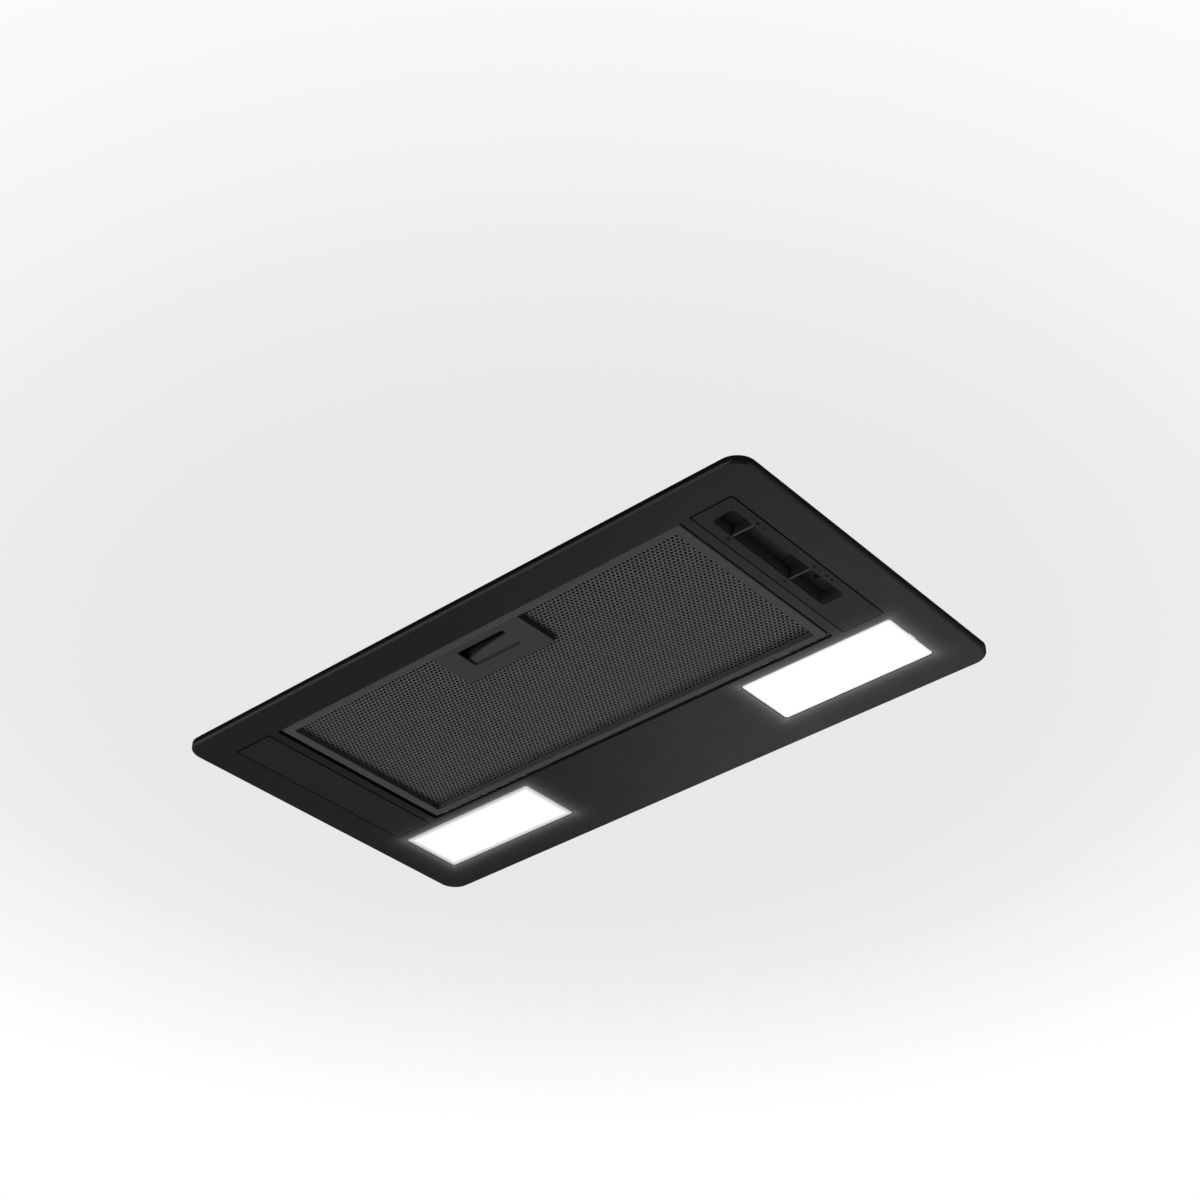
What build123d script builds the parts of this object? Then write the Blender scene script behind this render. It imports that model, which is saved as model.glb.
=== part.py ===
"""Built-in range hood for a wall cabinet: moulded face panel, grease filter, two lights, two slide
controls, and a sheet-steel housing with a centrifugal blower and a round outlet collar.

Millimetres. +Z is up, +Y points to the wall and +X to the user's right. The origin is the middle of
the panel, on the underside of the cabinet board, which is the plane that the panel's rim bears on.
"""
from build123d import *
from math import cos, radians, sin
import os

os.makedirs("parts", exist_ok=True)

# Face panel
panel_w = 534
panel_d = 297
panel_drop = 5.5
panel_t = 2.5
panel_corner_r = 15
panel_edge_r = 2
skirt_t = 3
rib_t = 2
boss_r = 3.8

# Sheet-steel housing
rim_side = 21
rim_front = 17.5
housing_bottom = 6
sheet_t = 1
housing_flange = 10
housing_corner_r = 4
plate_lip = 12

# Grease filter in its opening
web_front = 11.1
web_light = 8.7
web_insert = 8.5
gap_side = 2.5
gap_front = 1.3
gap_rear = 1.9
filter_recess = 1.1
filter_h = 13
filter_sheet = 1.2
border_side = 7.8
border_front = 7.0
border_rear = 6.0
border_depth = 4.6
frame_edge_r = 1.0
top_lip = 6
mesh_t = 0.8
hook_x = 80
hook_w = 16
hook_len = 7
hook_t = 1.5
hook_gap = 0.3

# Filter handle and its sprung latch
handle_w = 82.4
handle_d = 40.3
handle_wall = 1.4
grip_w = 44
grip_d = 21.1
grip_front_edge = 5.2
latch_travel = 5
bolt_w = 18
bolt_t = 1.8
bolt_room = 0.4
bolt_clear = 1.5
lever_w = 52
spring_r = 2.2
spring_wire = 0.7
spring_turns = 5

# Lights
light_margin_side = 8.5
light_margin_rear = 13.1
light_w = 131.2
light_d = 56.1
light_corner_r = 3
light_recess = 0.3
light_gap = 0.5
lens_flange = 2
lens_flange_t = 1.2
tray_h = 17.8
tray_wall = 1.5
tray_ear = 8.8
tray_ear_t = 2
tray_ear_half = 19
tray_boss_r = 3.4
board_t = 1.6
board_post = 2.5
led_board_w = 118
led_board_d = 36

# Control plate and blank plate
insert_margin_side = 7.6
insert_margin_front = 10.4
insert_to_light = 8.8
insert_w = 34.4
insert_proud = 0.2
insert_gap = 0.7
insert_corner_r = 1.0
insert_edge_r = 0.3
insert_flange = 1.8
insert_flange_t = 1.5
slot_off = 0.3
slot_w = 18.2
slot_from_front = 11.6
slot_from_rear = 35.2
slot_corner_r = 3.5
slot_depth = 10
well_wall = 1.5
light_knob_from_front = 22.6
light_knob_travel = 7.5
fan_knob_from_rear = 39.0
fan_knob_travel = 20.25
knob_gap = 0.3
knob_base_t = 1.2
stem_w = 3
slit_room = 0.7
switch_h = 7
switch_gap = 0.5
cover_t = 1.5
cover_room = 4

# Blower: spiral casing round a drum wheel on a cross-wise shaft
casing_to_wall = 3
casing_over_filter = 18.4
throat_len = 14
wheel_r = 66
wheel_blade = 14
wheel_half = 44
wheel_disc_t = 2
hub_r = 9
blades = 36
casing_half = 53
casing_t = 2
spiral_gap = 9.5
spiral_step = 9
tongue_r = 6
casing_flange = 10
bell_gap = 2
bell_flare = 10
bell_depth = 7
shaft_r = 4
run_gap = 0.05
motor_gap = 10
motor_x0 = 5
motor_x1 = 49
motor_t = 1.5
stator_depth = 16.3
winding_room = 6.5
rotor_gap = 0.8
bearing_r = 9
bearing_w = 5
bearing_seat = 2.5
bracket_t = 2
bracket_ring = 5
bracket_post_r = 4
bracket_post_in = 15
grommet_r = 5
grommet_groove = 1.5
grommet_ring = 2
lead_hole_at = 16

# Outlet collar with two non-return flaps
duct_r = 75
duct_wall = 2
collar_h = 37
collar_flange_w = 16
collar_flange_t = 3
collar_screw_in = 7
ledge_w = 2.5
ledge_t = 1.3
ledge_gap = 0.5
flap_above_plate = 22
flap_t = 1.2
flap_pin_r = 1.5
flap_pin_apart = 6.4
flap_barrel_r = 2.7
flap_gap = 0.8

# Side catches that hold the hood on the cabinet board
catch_w = 26
catch_shoulder_w = 38
catch_pivot_in = 4.5
catch_pivot_z = 44
catch_slot_below = 28
catch_slot_above = 2
catch_slot_side = 2
catch_nose = 8
catch_pin_r = 1.5
catch_barrel_r = 3.2
catch_ear_t = 1.5
catch_leaf_t = 0.5
side_screw_r = 2.25
side_screw_y = 80
side_screw_z = 11

# Electrical parts
box_margin_side = 15
box_margin_front = 30
box_w = 100
box_d = 80
box_h = 40
box_t = 2
box_foot = 5
foot_t = 3
gland_in = 25
gland_bore_r = 4
gland_thread_r = 8
gland_hex = 22
gland_hex_h = 6
gland_dome_r = 9.5
gland_dome_h = 12
gland_nut_h = 5
gland_tail = 8
driver_margin_side = 10
driver_margin_front = 50
driver_w = 100
driver_d = 42
driver_h = 24
lead_r = 2.2

# Levels and places that follow from the sizes above
face_z = -panel_drop
panel_top = face_z + panel_t
housing_w = panel_w - 2 * rim_side
housing_d = panel_d - 2 * rim_front
housing_in_w = housing_w - 2 * sheet_t
housing_in_d = housing_d - 2 * sheet_t
wall_x = housing_in_w / 2
wall_y = housing_in_d / 2
light_x = wall_x - light_margin_side - light_w / 2
light_y = wall_y - light_margin_rear - light_d / 2
insert_x = wall_x - insert_margin_side - insert_w / 2
insert_front = -wall_y + insert_margin_front
insert_rear = light_y - light_d / 2 - insert_to_light
insert_y = (insert_front + insert_rear) / 2
insert_d = insert_rear - insert_front
insert_z = face_z - insert_proud
slot_x = insert_x + slot_off
slot_front = insert_front + slot_from_front
slot_rear = insert_rear - slot_from_rear
slot_y = (slot_front + slot_rear) / 2
slot_d = slot_rear - slot_front
slot_floor = insert_z + slot_depth
light_knob_y = slot_front + light_knob_from_front
fan_knob_y = slot_rear - fan_knob_from_rear
opening_w = 2 * (insert_x - insert_w / 2 - web_insert)
opening_front = -wall_y + web_front
opening_rear = light_y - light_d / 2 - web_light
opening_y = (opening_front + opening_rear) / 2
opening_d = opening_rear - opening_front
frame_w = opening_w - 2 * gap_side
frame_front = opening_front + gap_front
frame_rear = opening_rear - gap_rear
frame_z = face_z + filter_recess
frame_top = frame_z + filter_h
mesh_z = frame_z + border_depth
mesh_edge = filter_sheet + 0.3
window_front = frame_front + border_front
window_rear = frame_rear - border_rear
window_w = frame_w - 2 * border_side
lens_top = panel_top + lens_flange_t
tray_top = lens_top + tray_h
spiral_r = wheel_r + spiral_gap
bell_throat_r = wheel_r - wheel_blade - bell_gap
bell_r = bell_throat_r + bell_flare
motor_r = wheel_r - wheel_blade - motor_gap
grommet_at = bell_r + grommet_r + 1
axis_y = -wall_y + casing_to_wall + casing_t + spiral_r + spiral_step / 2
axis_z = frame_top + casing_over_filter + casing_t + spiral_r + 1.5 * spiral_step
casing_top = axis_z + spiral_r - spiral_step / 2 + tongue_r + throat_len
housing_top = casing_top + sheet_t
throat_front = axis_y - spiral_step / 2 + tongue_r
throat_rear = axis_y + spiral_r + 2.5 * spiral_step
duct_y = (throat_front + throat_rear) / 2
collar_flange_r = duct_r + collar_flange_w
flap_z = housing_top + flap_above_plate
catch_pivot_x = wall_x - catch_pivot_in
box_x = wall_x - box_margin_side - box_w / 2
box_y = -wall_y + box_margin_front + box_d / 2
gland_x = box_x + box_w / 2 - gland_in
gland_y = box_y
driver_x = -wall_x + driver_margin_side + driver_w / 2
driver_y = -wall_y + driver_margin_front + driver_d / 2


def block(x0, x1, y0, y1, z0, z1, r=0, mode=Mode.ADD):
    """Adds or cuts an upright block between two corners, its vertical edges rounded by r."""
    with BuildSketch(Plane.XY.offset(z0)) as outline:
        with Locations(((x0 + x1) / 2, (y0 + y1) / 2)):
            if r:
                RectangleRounded(x1 - x0, y1 - y0, r)
            else:
                Rectangle(x1 - x0, y1 - y0)
    extrude(outline.sketch, amount=z1 - z0, mode=mode)


def slab(w, d, z0, z1, r=0, at=(0, 0), mode=Mode.ADD):
    """Adds or cuts an upright block of width w and depth d, centred on a point."""
    x, y = at
    block(x - w / 2, x + w / 2, y - d / 2, y + d / 2, z0, z1, r, mode)


def post(x, y, r, z0, z1, mode=Mode.ADD):
    """Adds or cuts an upright round post."""
    with BuildSketch(Plane.XY.offset(z0)) as outline:
        with Locations((x, y)):
            Circle(r)
    extrude(outline.sketch, amount=z1 - z0, mode=mode)


def barrel(y, z, r, x0, x1, mode=Mode.ADD):
    """Adds or cuts a round bar that lies along X."""
    with BuildSketch(Plane.YZ.offset(x0)) as outline:
        with Locations((y, z)):
            Circle(r)
    extrude(outline.sketch, amount=x1 - x0, mode=mode)


def section_y(points, y0, y1, mode=Mode.ADD):
    """Adds or cuts a straight-edged section, given in X and Z, that runs from y0 to y1."""
    plane = Plane(origin=(0, y0, 0), x_dir=(1, 0, 0), z_dir=(0, -1, 0))
    with BuildSketch(plane) as outline:
        with BuildLine():
            Polyline(*points, close=True)
        make_face()
    extrude(outline.sketch, amount=y0 - y1, mode=mode)


def section_x(points, x0, x1, mode=Mode.ADD):
    """Adds or cuts a straight-edged section, given in Y and Z, that runs from x0 to x1."""
    with BuildSketch(Plane.YZ.offset(x0)) as outline:
        with BuildLine():
            Polyline(*points, close=True)
        make_face()
    extrude(outline.sketch, amount=x1 - x0, mode=mode)


def pan_screw(x, y, seat_z, head_r, shank_r, shank_len, up=1):
    """Adds a pan-head screw whose head bears on seat_z; up is 1 when the head is above the seat."""
    head_h = 0.7 * head_r
    head_z = seat_z if up > 0 else seat_z - head_h
    post(x, y, head_r, head_z, head_z + head_h)
    tip = seat_z - up * shank_len
    post(x, y, shank_r, min(seat_z, tip), max(seat_z, tip))
    recess = 0.45 * head_h
    recess_z = head_z + head_h - recess if up > 0 else head_z
    for w, d in ((1.3 * head_r, 0.28 * head_r), (0.28 * head_r, 1.3 * head_r)):
        slab(w, d, recess_z, recess_z + recess, at=(x, y), mode=Mode.SUBTRACT)


def finish(part, name):
    """Names a finished piece and writes it."""
    part.label = name
    export_step(part, f"parts/{name}.step")


sides = (("left", -1), ("right", 1))
boss_hole_r = 2.0
boss_y = wall_y - housing_flange / 2 - 0.4
front_boss_x = (100, insert_x - insert_w / 2 - 13)
rear_boss_x = (light_x - light_w / 2 - 13.3, wall_x - 7)
boss_places = [(s * x, -boss_y) for x in front_boss_x for s in (-1, 1)]
boss_places += [(s * x, boss_y) for x in rear_boss_x for s in (-1, 1)]
tray_boss_hole_r = 1.6
tray_boss_x = light_x - light_w / 2 - lens_flange - tray_ear / 2
tray_boss_y = (light_y - tray_ear_half + 5, light_y + tray_ear_half - 5)
tray_boss_places = [(s * tray_boss_x, y) for y in tray_boss_y for s in (-1, 1)]
rib_w = housing_in_w - 1.2
rib_d = housing_in_d - 1.2
rib_top = housing_bottom - 0.6

# Face panel: one black moulding, open at the top, with a rim that bears on the cabinet board
with BuildPart() as face_panel:
    slab(panel_w, panel_d, face_z, 0, panel_corner_r)
    fillet(face_panel.faces().sort_by(Axis.Z)[0].edges(), panel_edge_r)
    slab(panel_w - 2 * skirt_t, panel_d - 2 * skirt_t, panel_top, 0, panel_corner_r - skirt_t, mode=Mode.SUBTRACT)
    slab(rib_w, rib_d, panel_top, rib_top, housing_corner_r)
    slab(rib_w - 2 * rib_t, rib_d - 2 * rib_t, panel_top, rib_top, housing_corner_r - rib_t, mode=Mode.SUBTRACT)
    for x, y in boss_places:
        post(x, y, boss_r, panel_top, housing_bottom)
        post(x, y, boss_hole_r, panel_top + 1, housing_bottom, mode=Mode.SUBTRACT)
    for x, y in tray_boss_places:
        post(x, y, tray_boss_r, panel_top, housing_bottom)
        post(x, y, tray_boss_hole_r, panel_top + 1, housing_bottom, mode=Mode.SUBTRACT)
    for side, s in sides:
        wall = s * (opening_w / 2 + rib_t / 2)
        slab(rib_t, opening_d, panel_top, housing_bottom, at=(wall, opening_y))
    slab(opening_w, opening_d, face_z, panel_top, 1.5, at=(0, opening_y), mode=Mode.SUBTRACT)
    for side, s in sides:
        slab(light_w + 2 * light_gap, light_d + 2 * light_gap, face_z, panel_top, light_corner_r + light_gap,
             at=(s * light_x, light_y), mode=Mode.SUBTRACT)
        slab(insert_w + 2 * insert_gap, insert_d + 2 * insert_gap, face_z, panel_top, insert_corner_r + insert_gap,
             at=(s * insert_x, insert_y), mode=Mode.SUBTRACT)
finish(face_panel.part, "face_panel")


def insert_blank(s):
    """Adds the plate that fills an insert's opening, with the flange that rests on the panel."""
    slab(insert_w, insert_d, insert_z, panel_top, insert_corner_r, at=(s * insert_x, insert_y))
    slab(insert_w + 2 * insert_flange, insert_d + 2 * insert_flange, panel_top, panel_top + insert_flange_t,
         insert_corner_r, at=(s * insert_x, insert_y))


# Control plate: the right insert, with the slot and the well that the two knobs slide in
well_top = slot_floor + well_wall
cover_screw_y = (slot_front - 6.2, slot_rear + 14)
cover_hole_end = insert_z + 1.6
slit_end = stem_w / 2 + slit_room
light_slit = (light_knob_y - slit_end, light_knob_y + light_knob_travel + slit_end)
fan_slit = (fan_knob_y - slit_end, fan_knob_y + fan_knob_travel + slit_end)
with BuildPart() as control_plate:
    insert_blank(1)
    fillet(control_plate.faces().sort_by(Axis.Z)[0].edges(), insert_edge_r)
    slab(slot_w + 2 * well_wall, slot_d + 2 * well_wall, panel_top, well_top, slot_corner_r + well_wall,
         at=(slot_x, slot_y))
    slab(slot_w, slot_d, insert_z, slot_floor, slot_corner_r, at=(slot_x, slot_y), mode=Mode.SUBTRACT)
    for y0, y1 in (light_slit, fan_slit):
        block(slot_x - stem_w / 2 - 0.3, slot_x + stem_w / 2 + 0.3, y0, y1, slot_floor, well_top, mode=Mode.SUBTRACT)
    for y in cover_screw_y:
        post(slot_x, y, 1.3, cover_hole_end, panel_top + insert_flange_t, mode=Mode.SUBTRACT)
finish(control_plate.part, "control_plate")

# Blank plate: the left insert, which fills the place of a second set of controls
with BuildPart() as blank_plate:
    insert_blank(-1)
    fillet(blank_plate.faces().sort_by(Axis.Z)[0].edges(), insert_edge_r)
    for y in (insert_y - insert_d / 4, insert_y, insert_y + insert_d / 4):
        slab(insert_w - 6, well_wall, panel_top, panel_top + 5, at=(-insert_x, y))
finish(blank_plate.part, "blank_plate")

# Grease filter: folded frame with an open channel section and two hooks at the rear
frame_d = frame_rear - frame_front
frame_y = (frame_rear + frame_front) / 2
window_d = window_rear - window_front
window_y = (window_rear + window_front) / 2
bolt_z = panel_top + bolt_room
with BuildPart() as filter_frame:
    slab(frame_w, frame_d, frame_z, frame_top, 2, at=(0, frame_y))
    fillet(filter_frame.faces().sort_by(Axis.Z)[0].edges(), frame_edge_r)
    slab(frame_w - 2 * filter_sheet, frame_d - 2 * filter_sheet, frame_z + filter_sheet, frame_top - filter_sheet, 1,
         at=(0, frame_y), mode=Mode.SUBTRACT)
    slab(frame_w - 2 * top_lip, frame_d - 2 * top_lip, frame_top - filter_sheet, frame_top, 1, at=(0, frame_y),
         mode=Mode.SUBTRACT)
    slab(window_w + 2 * filter_sheet, window_d + 2 * filter_sheet, frame_z + filter_sheet, mesh_z, at=(0, window_y))
    slab(window_w, window_d, frame_z, mesh_z, at=(0, window_y), mode=Mode.SUBTRACT)
    for side, s in sides:
        block(s * hook_x - hook_w / 2, s * hook_x + hook_w / 2, frame_rear - filter_sheet, opening_rear + hook_len,
              panel_top + hook_gap, panel_top + hook_gap + hook_t)
    slab(bolt_w + 0.8, border_front + 4, bolt_z - 0.3, bolt_z + bolt_t + 0.3, at=(0, frame_front + border_front / 2),
         mode=Mode.SUBTRACT)
finish(filter_frame.part, "filter_frame")

# Filter meshes: flat sheets with rows of six-sided gaps, cut round the handle
mesh_w = frame_w - 2 * mesh_edge
mesh_d = frame_d - 2 * mesh_edge
gap_columns = 25
gap_rows = 12
gap_pitch_x = window_w / (gap_columns + 0.5)
gap_pitch_y = window_d / (gap_rows + 0.2)
gap_r = 0.5 * gap_pitch_y
handle_front = window_front
handle_rear = handle_front + handle_d


gap_places = []
for row in range(gap_rows):
    y = window_y + (row - (gap_rows - 1) / 2) * gap_pitch_y
    shift = 0.25 if row % 2 else -0.25
    for column in range(gap_columns):
        x = (column - (gap_columns - 1) / 2 + shift) * gap_pitch_x
        near_handle = abs(x) < handle_w / 2 + gap_r + 1 and y < handle_rear + gap_r + 1
        if not near_handle:
            gap_places.append((x, y))
with BuildSketch() as net:
    with Locations((0, frame_y)):
        Rectangle(mesh_w, mesh_d)
    with Locations((0, (handle_front + handle_rear) / 2)):
        Rectangle(handle_w, handle_d, mode=Mode.SUBTRACT)
    with Locations(*gap_places):
        RegularPolygon(gap_r, 6, rotation=30, mode=Mode.SUBTRACT)


def mesh_sheet(z):
    """Adds a mesh sheet, with its staggered gaps and its cut-out for the handle, at a height."""
    extrude(net.sketch.moved(Location((0, 0, z))), amount=mesh_t)


with BuildPart() as filter_mesh_lower:
    mesh_sheet(mesh_z)
finish(filter_mesh_lower.part, "filter_mesh_lower")

with BuildPart() as filter_mesh_upper:
    mesh_sheet(frame_top - filter_sheet - mesh_t)
finish(filter_mesh_upper.part, "filter_mesh_upper")

# Filter core: three corrugated foils between the meshes, with the waves crossing the filter
foil_t = 0.3
foil_wave = 0.6
foil_pitch = 12
foil_room = frame_top - filter_sheet - 2 * mesh_t - mesh_z
foil_steps = 2 * round(mesh_w / foil_pitch)
with BuildPart() as filter_core:
    for layer in range(3):
        middle = mesh_z + mesh_t + foil_room * (layer + 0.5) / 3
        crest = [(mesh_w * (i / foil_steps - 0.5), middle + foil_wave * (-1) ** (i + layer))
                 for i in range(foil_steps + 1)]
        lower = [(x, z - foil_t / 2) for x, z in crest]
        upper = [(x, z + foil_t / 2) for x, z in reversed(crest)]
        section_y(lower + upper, frame_y - mesh_d / 2, frame_y + mesh_d / 2)
    slab(handle_w, handle_d, mesh_z, frame_top, at=(0, (handle_front + handle_rear) / 2), mode=Mode.SUBTRACT)
finish(filter_core.part, "filter_core")

# Filter handle: a moulded case, flush with the frame, with the finger recess in its face
handle_y = (handle_front + handle_rear) / 2
handle_top = frame_top - 1.6
grip_front = handle_front + grip_front_edge
grip_rear = grip_front + grip_d
with BuildPart() as handle_case:
    slab(handle_w, handle_d, frame_z, handle_top - handle_wall, at=(0, handle_y))
    slab(handle_w - 2 * handle_wall, handle_d - 2 * handle_wall, frame_z + handle_wall, handle_top - handle_wall,
         at=(0, handle_y), mode=Mode.SUBTRACT)
    slab(grip_w, grip_d, frame_z, frame_z + handle_wall, 2, at=(0, (grip_front + grip_rear) / 2), mode=Mode.SUBTRACT)
    slab(bolt_w + 0.8, 4, bolt_z - 0.3, bolt_z + bolt_t + 0.3, at=(0, handle_front), mode=Mode.SUBTRACT)
finish(handle_case.part, "handle_case")

with BuildPart() as handle_cover:
    slab(handle_w, handle_d, handle_top - handle_wall, handle_top, at=(0, handle_y))
finish(handle_cover.part, "handle_cover")

# Latch lever: the scooped finger piece, its slide under the cover, and the bolt over the panel's edge
lever_gap = 0.3
lever_z = frame_z + handle_wall + lever_gap
slide_top = handle_top - handle_wall - lever_gap
slide_z = slide_top - 2
lever_rear = grip_rear + 3.3
scoop_rear = grip_rear - 4.5
scoop_front = grip_rear - 12.5
slide_front = handle_front + handle_wall + lever_gap
bolt_tip = opening_front - latch_travel + bolt_clear
with BuildPart() as latch_lever:
    with BuildSketch(Plane.YZ.offset(-lever_w / 2)):
        with BuildLine():
            Polyline((scoop_front, slide_z), (scoop_front, slide_top), (lever_rear, slide_top), (lever_rear, lever_z),
                     (scoop_rear, lever_z))
            RadiusArc((scoop_rear, lever_z), (scoop_front, slide_z), 9)
        make_face()
    extrude(amount=lever_w)
    block(-lever_w / 2, lever_w / 2, slide_front, lever_rear, slide_z, slide_top)
    block(-bolt_w / 2, bolt_w / 2, slide_front, slide_front + 2.4, bolt_z, slide_top)
    section_x([(slide_front + 2.4, bolt_z + bolt_t), (slide_front + 2.4, bolt_z), (bolt_tip, bolt_z),
               (bolt_tip, bolt_z + 0.6), (bolt_tip + 2, bolt_z + bolt_t)], -bolt_w / 2, bolt_w / 2)
finish(latch_lever.part, "latch_lever")

# Latch spring: a coil between the lever and the rear wall of the case
spring_z = (lever_z + slide_top) / 2
spring_y0 = lever_rear + 0.05
spring_y1 = handle_rear - handle_wall - 0.05
spring_pitch = (spring_y1 - spring_y0 - spring_wire) / spring_turns
with BuildPart() as latch_spring:
    with BuildLine() as coil:
        Helix(spring_pitch, spring_pitch * spring_turns, spring_r, center=(0, spring_y0 + spring_wire / 2, spring_z),
              direction=(0, 1, 0))
    with BuildSketch(Plane(origin=coil.line @ 0, z_dir=coil.line % 0)):
        Circle(spring_wire / 2)
    sweep()
print("latch spring: gap between turns", round(spring_pitch - spring_wire, 2), "mm")
finish(latch_spring.part, "latch_spring")


# Lights: opal lens, tray and board of light-emitting diodes, the same on both sides
def light_pieces(side, s):
    """Makes the three pieces of one light."""
    x = s * light_x
    outer_w = light_w + 2 * lens_flange
    outer_d = light_d + 2 * lens_flange
    with BuildPart() as lens:
        slab(light_w, light_d, face_z + light_recess, panel_top, light_corner_r, at=(x, light_y))
        fillet(lens.faces().sort_by(Axis.Z)[0].edges(), 0.6)
        slab(outer_w, outer_d, panel_top, lens_top, light_corner_r, at=(x, light_y))
        block(x + light_w / 2 - 2, x + light_w / 2 + light_gap - 0.15, light_y - 4, light_y + 4,
              face_z + light_recess, panel_top)
    finish(lens.part, f"light_lens_{side}")
    ceiling = tray_top - tray_wall
    ear_places = sorted((s * (light_x - outer_w / 2 - tray_ear), s * (light_x - outer_w / 2 + 1)))
    ear_top = housing_bottom + tray_ear_t
    with BuildPart() as tray:
        slab(outer_w, outer_d, lens_top, tray_top, light_corner_r, at=(x, light_y))
        block(*ear_places, light_y - tray_ear_half, light_y + tray_ear_half, housing_bottom, ear_top)
        slab(outer_w - 2 * tray_wall, outer_d - 2 * tray_wall, lens_top, ceiling, light_corner_r - tray_wall,
             at=(x, light_y), mode=Mode.SUBTRACT)
        for y in tray_boss_y:
            post(s * tray_boss_x, y, tray_boss_hole_r + 0.1, housing_bottom, ear_top, mode=Mode.SUBTRACT)
        for dx in (9 - led_board_w / 2, led_board_w / 2 - 9):
            post(x + dx, light_y, 3, ceiling - board_post, ceiling)
    finish(tray.part, f"light_tray_{side}")
    board_z = ceiling - board_post - board_t
    with BuildPart() as board:
        slab(led_board_w, led_board_d, board_z, board_z + board_t, 1, at=(x, light_y))
        with BuildSketch(Plane.XY.offset(board_z)) as chips:
            with GridLocations(18, 20, 6, 2):
                with Locations((x, light_y)):
                    Rectangle(3.5, 3.5)
        extrude(chips.sketch, amount=-0.8)
    finish(board.part, f"led_board_{side}")


for side, s in sides:
    light_pieces(side, s)


# Slide knobs: a thin fin that reaches the plate's face, a base strip on the floor and a stem
def slide_knob(y, base_front, base_rear, name):
    """Makes one knob with its fin at y and its base strip between two places."""
    half = slot_w / 2 - knob_gap
    base_z1 = slot_floor - 0.1
    base_z0 = base_z1 - knob_base_t
    with BuildPart() as knob:
        section_x([(y - 0.8, insert_z + 0.3), (y + 0.8, insert_z + 0.3), (y + 2.2, base_z0), (y - 0.8, base_z0)],
                  slot_x - half, slot_x + half)
        fillet(knob.faces().sort_by(Axis.Z)[0].edges().filter_by(Axis.X), 0.5)
        block(slot_x - half, slot_x + half, base_front, base_rear, base_z0, base_z1)
        block(slot_x - stem_w / 2, slot_x + stem_w / 2, y - stem_w / 2, y + stem_w / 2, base_z1, well_top + 3.3)
    finish(knob.part, name)


slide_knob(light_knob_y, light_knob_y - 12, light_knob_y + 12, "light_knob")
slide_knob(fan_knob_y, fan_knob_y - 10, fan_knob_y + 16, "fan_knob")

# Slide switches under the control board, one over each slit
switch_z0 = well_top + switch_gap
switch_z1 = switch_z0 + switch_h
for name, (y0, y1) in (("light_switch", light_slit), ("fan_switch", fan_slit)):
    with BuildPart() as switch:
        block(slot_x - 6, slot_x + 6, y0 - 4, y1 + 4, switch_z0, switch_z1)
        block(slot_x - stem_w / 2 - 0.4, slot_x + stem_w / 2 + 0.4, y0, y1, switch_z0, switch_z0 + 4,
              mode=Mode.SUBTRACT)
    finish(switch.part, name)

board_front = slot_front + 8
board_rear = slot_rear - 2
with BuildPart() as control_board:
    block(slot_x - 11.5, slot_x + 11.5, board_front, board_rear, switch_z1, switch_z1 + board_t)
finish(control_board.part, "control_board")

# Switch cover: a moulded box over the board, screwed to the control plate
cover_z0 = panel_top + insert_flange_t
cover_z1 = switch_z1 + board_t + cover_room
cover_half = slot_w / 2 + well_wall + 3.4
cover_front = slot_front - 3
cover_rear = slot_rear + 4
with BuildPart() as switch_cover:
    block(slot_x - cover_half, slot_x + cover_half, cover_front, cover_rear, cover_z0, cover_z1, 2)
    block(slot_x - cover_half + cover_t, slot_x + cover_half - cover_t, cover_front + cover_t, cover_rear - cover_t,
          cover_z0, cover_z1 - cover_t, 0.5, mode=Mode.SUBTRACT)
    block(slot_x - 5, slot_x + 5, cover_screw_y[0] - 4, cover_front + 1, cover_z0, cover_z0 + 2)
    block(slot_x - 5, slot_x + 5, cover_rear - 1, cover_screw_y[1] + 5, cover_z0, cover_z0 + 2)
    for y in cover_screw_y:
        post(slot_x, y, 1.4, cover_z0, cover_z0 + 2, mode=Mode.SUBTRACT)
    for y in (board_front + 6, board_rear - 6):
        post(slot_x, y, 2.5, switch_z1 + board_t, cover_z1 - cover_t)
finish(switch_cover.part, "switch_cover")

# Housing: four walls folded from one sheet, with a flange at the bottom of the front and rear walls
catch_slot = (catch_pivot_z - catch_slot_below, catch_pivot_z + catch_slot_above)
catch_slot_half = catch_w / 2 + catch_slot_side
with BuildPart() as housing_wrap:
    slab(housing_w, housing_d, housing_bottom, casing_top, housing_corner_r)
    slab(housing_in_w, housing_in_d, housing_bottom, casing_top, housing_corner_r - sheet_t, mode=Mode.SUBTRACT)
    for y0, y1 in ((-wall_y - sheet_t / 2, -wall_y + housing_flange), (wall_y - housing_flange, wall_y + sheet_t / 2)):
        block(-wall_x + 6, wall_x - 6, y0, y1, housing_bottom, housing_bottom + sheet_t)
    for x, y in boss_places:
        post(x, y, boss_hole_r + 0.2, housing_bottom, housing_bottom + sheet_t, mode=Mode.SUBTRACT)
    block(-housing_w, housing_w, -catch_slot_half, catch_slot_half, *catch_slot, mode=Mode.SUBTRACT)
    for y in (-side_screw_y, side_screw_y):
        barrel(y, side_screw_z, side_screw_r, -housing_w, housing_w, mode=Mode.SUBTRACT)
finish(housing_wrap.part, "housing_wrap")

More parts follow.
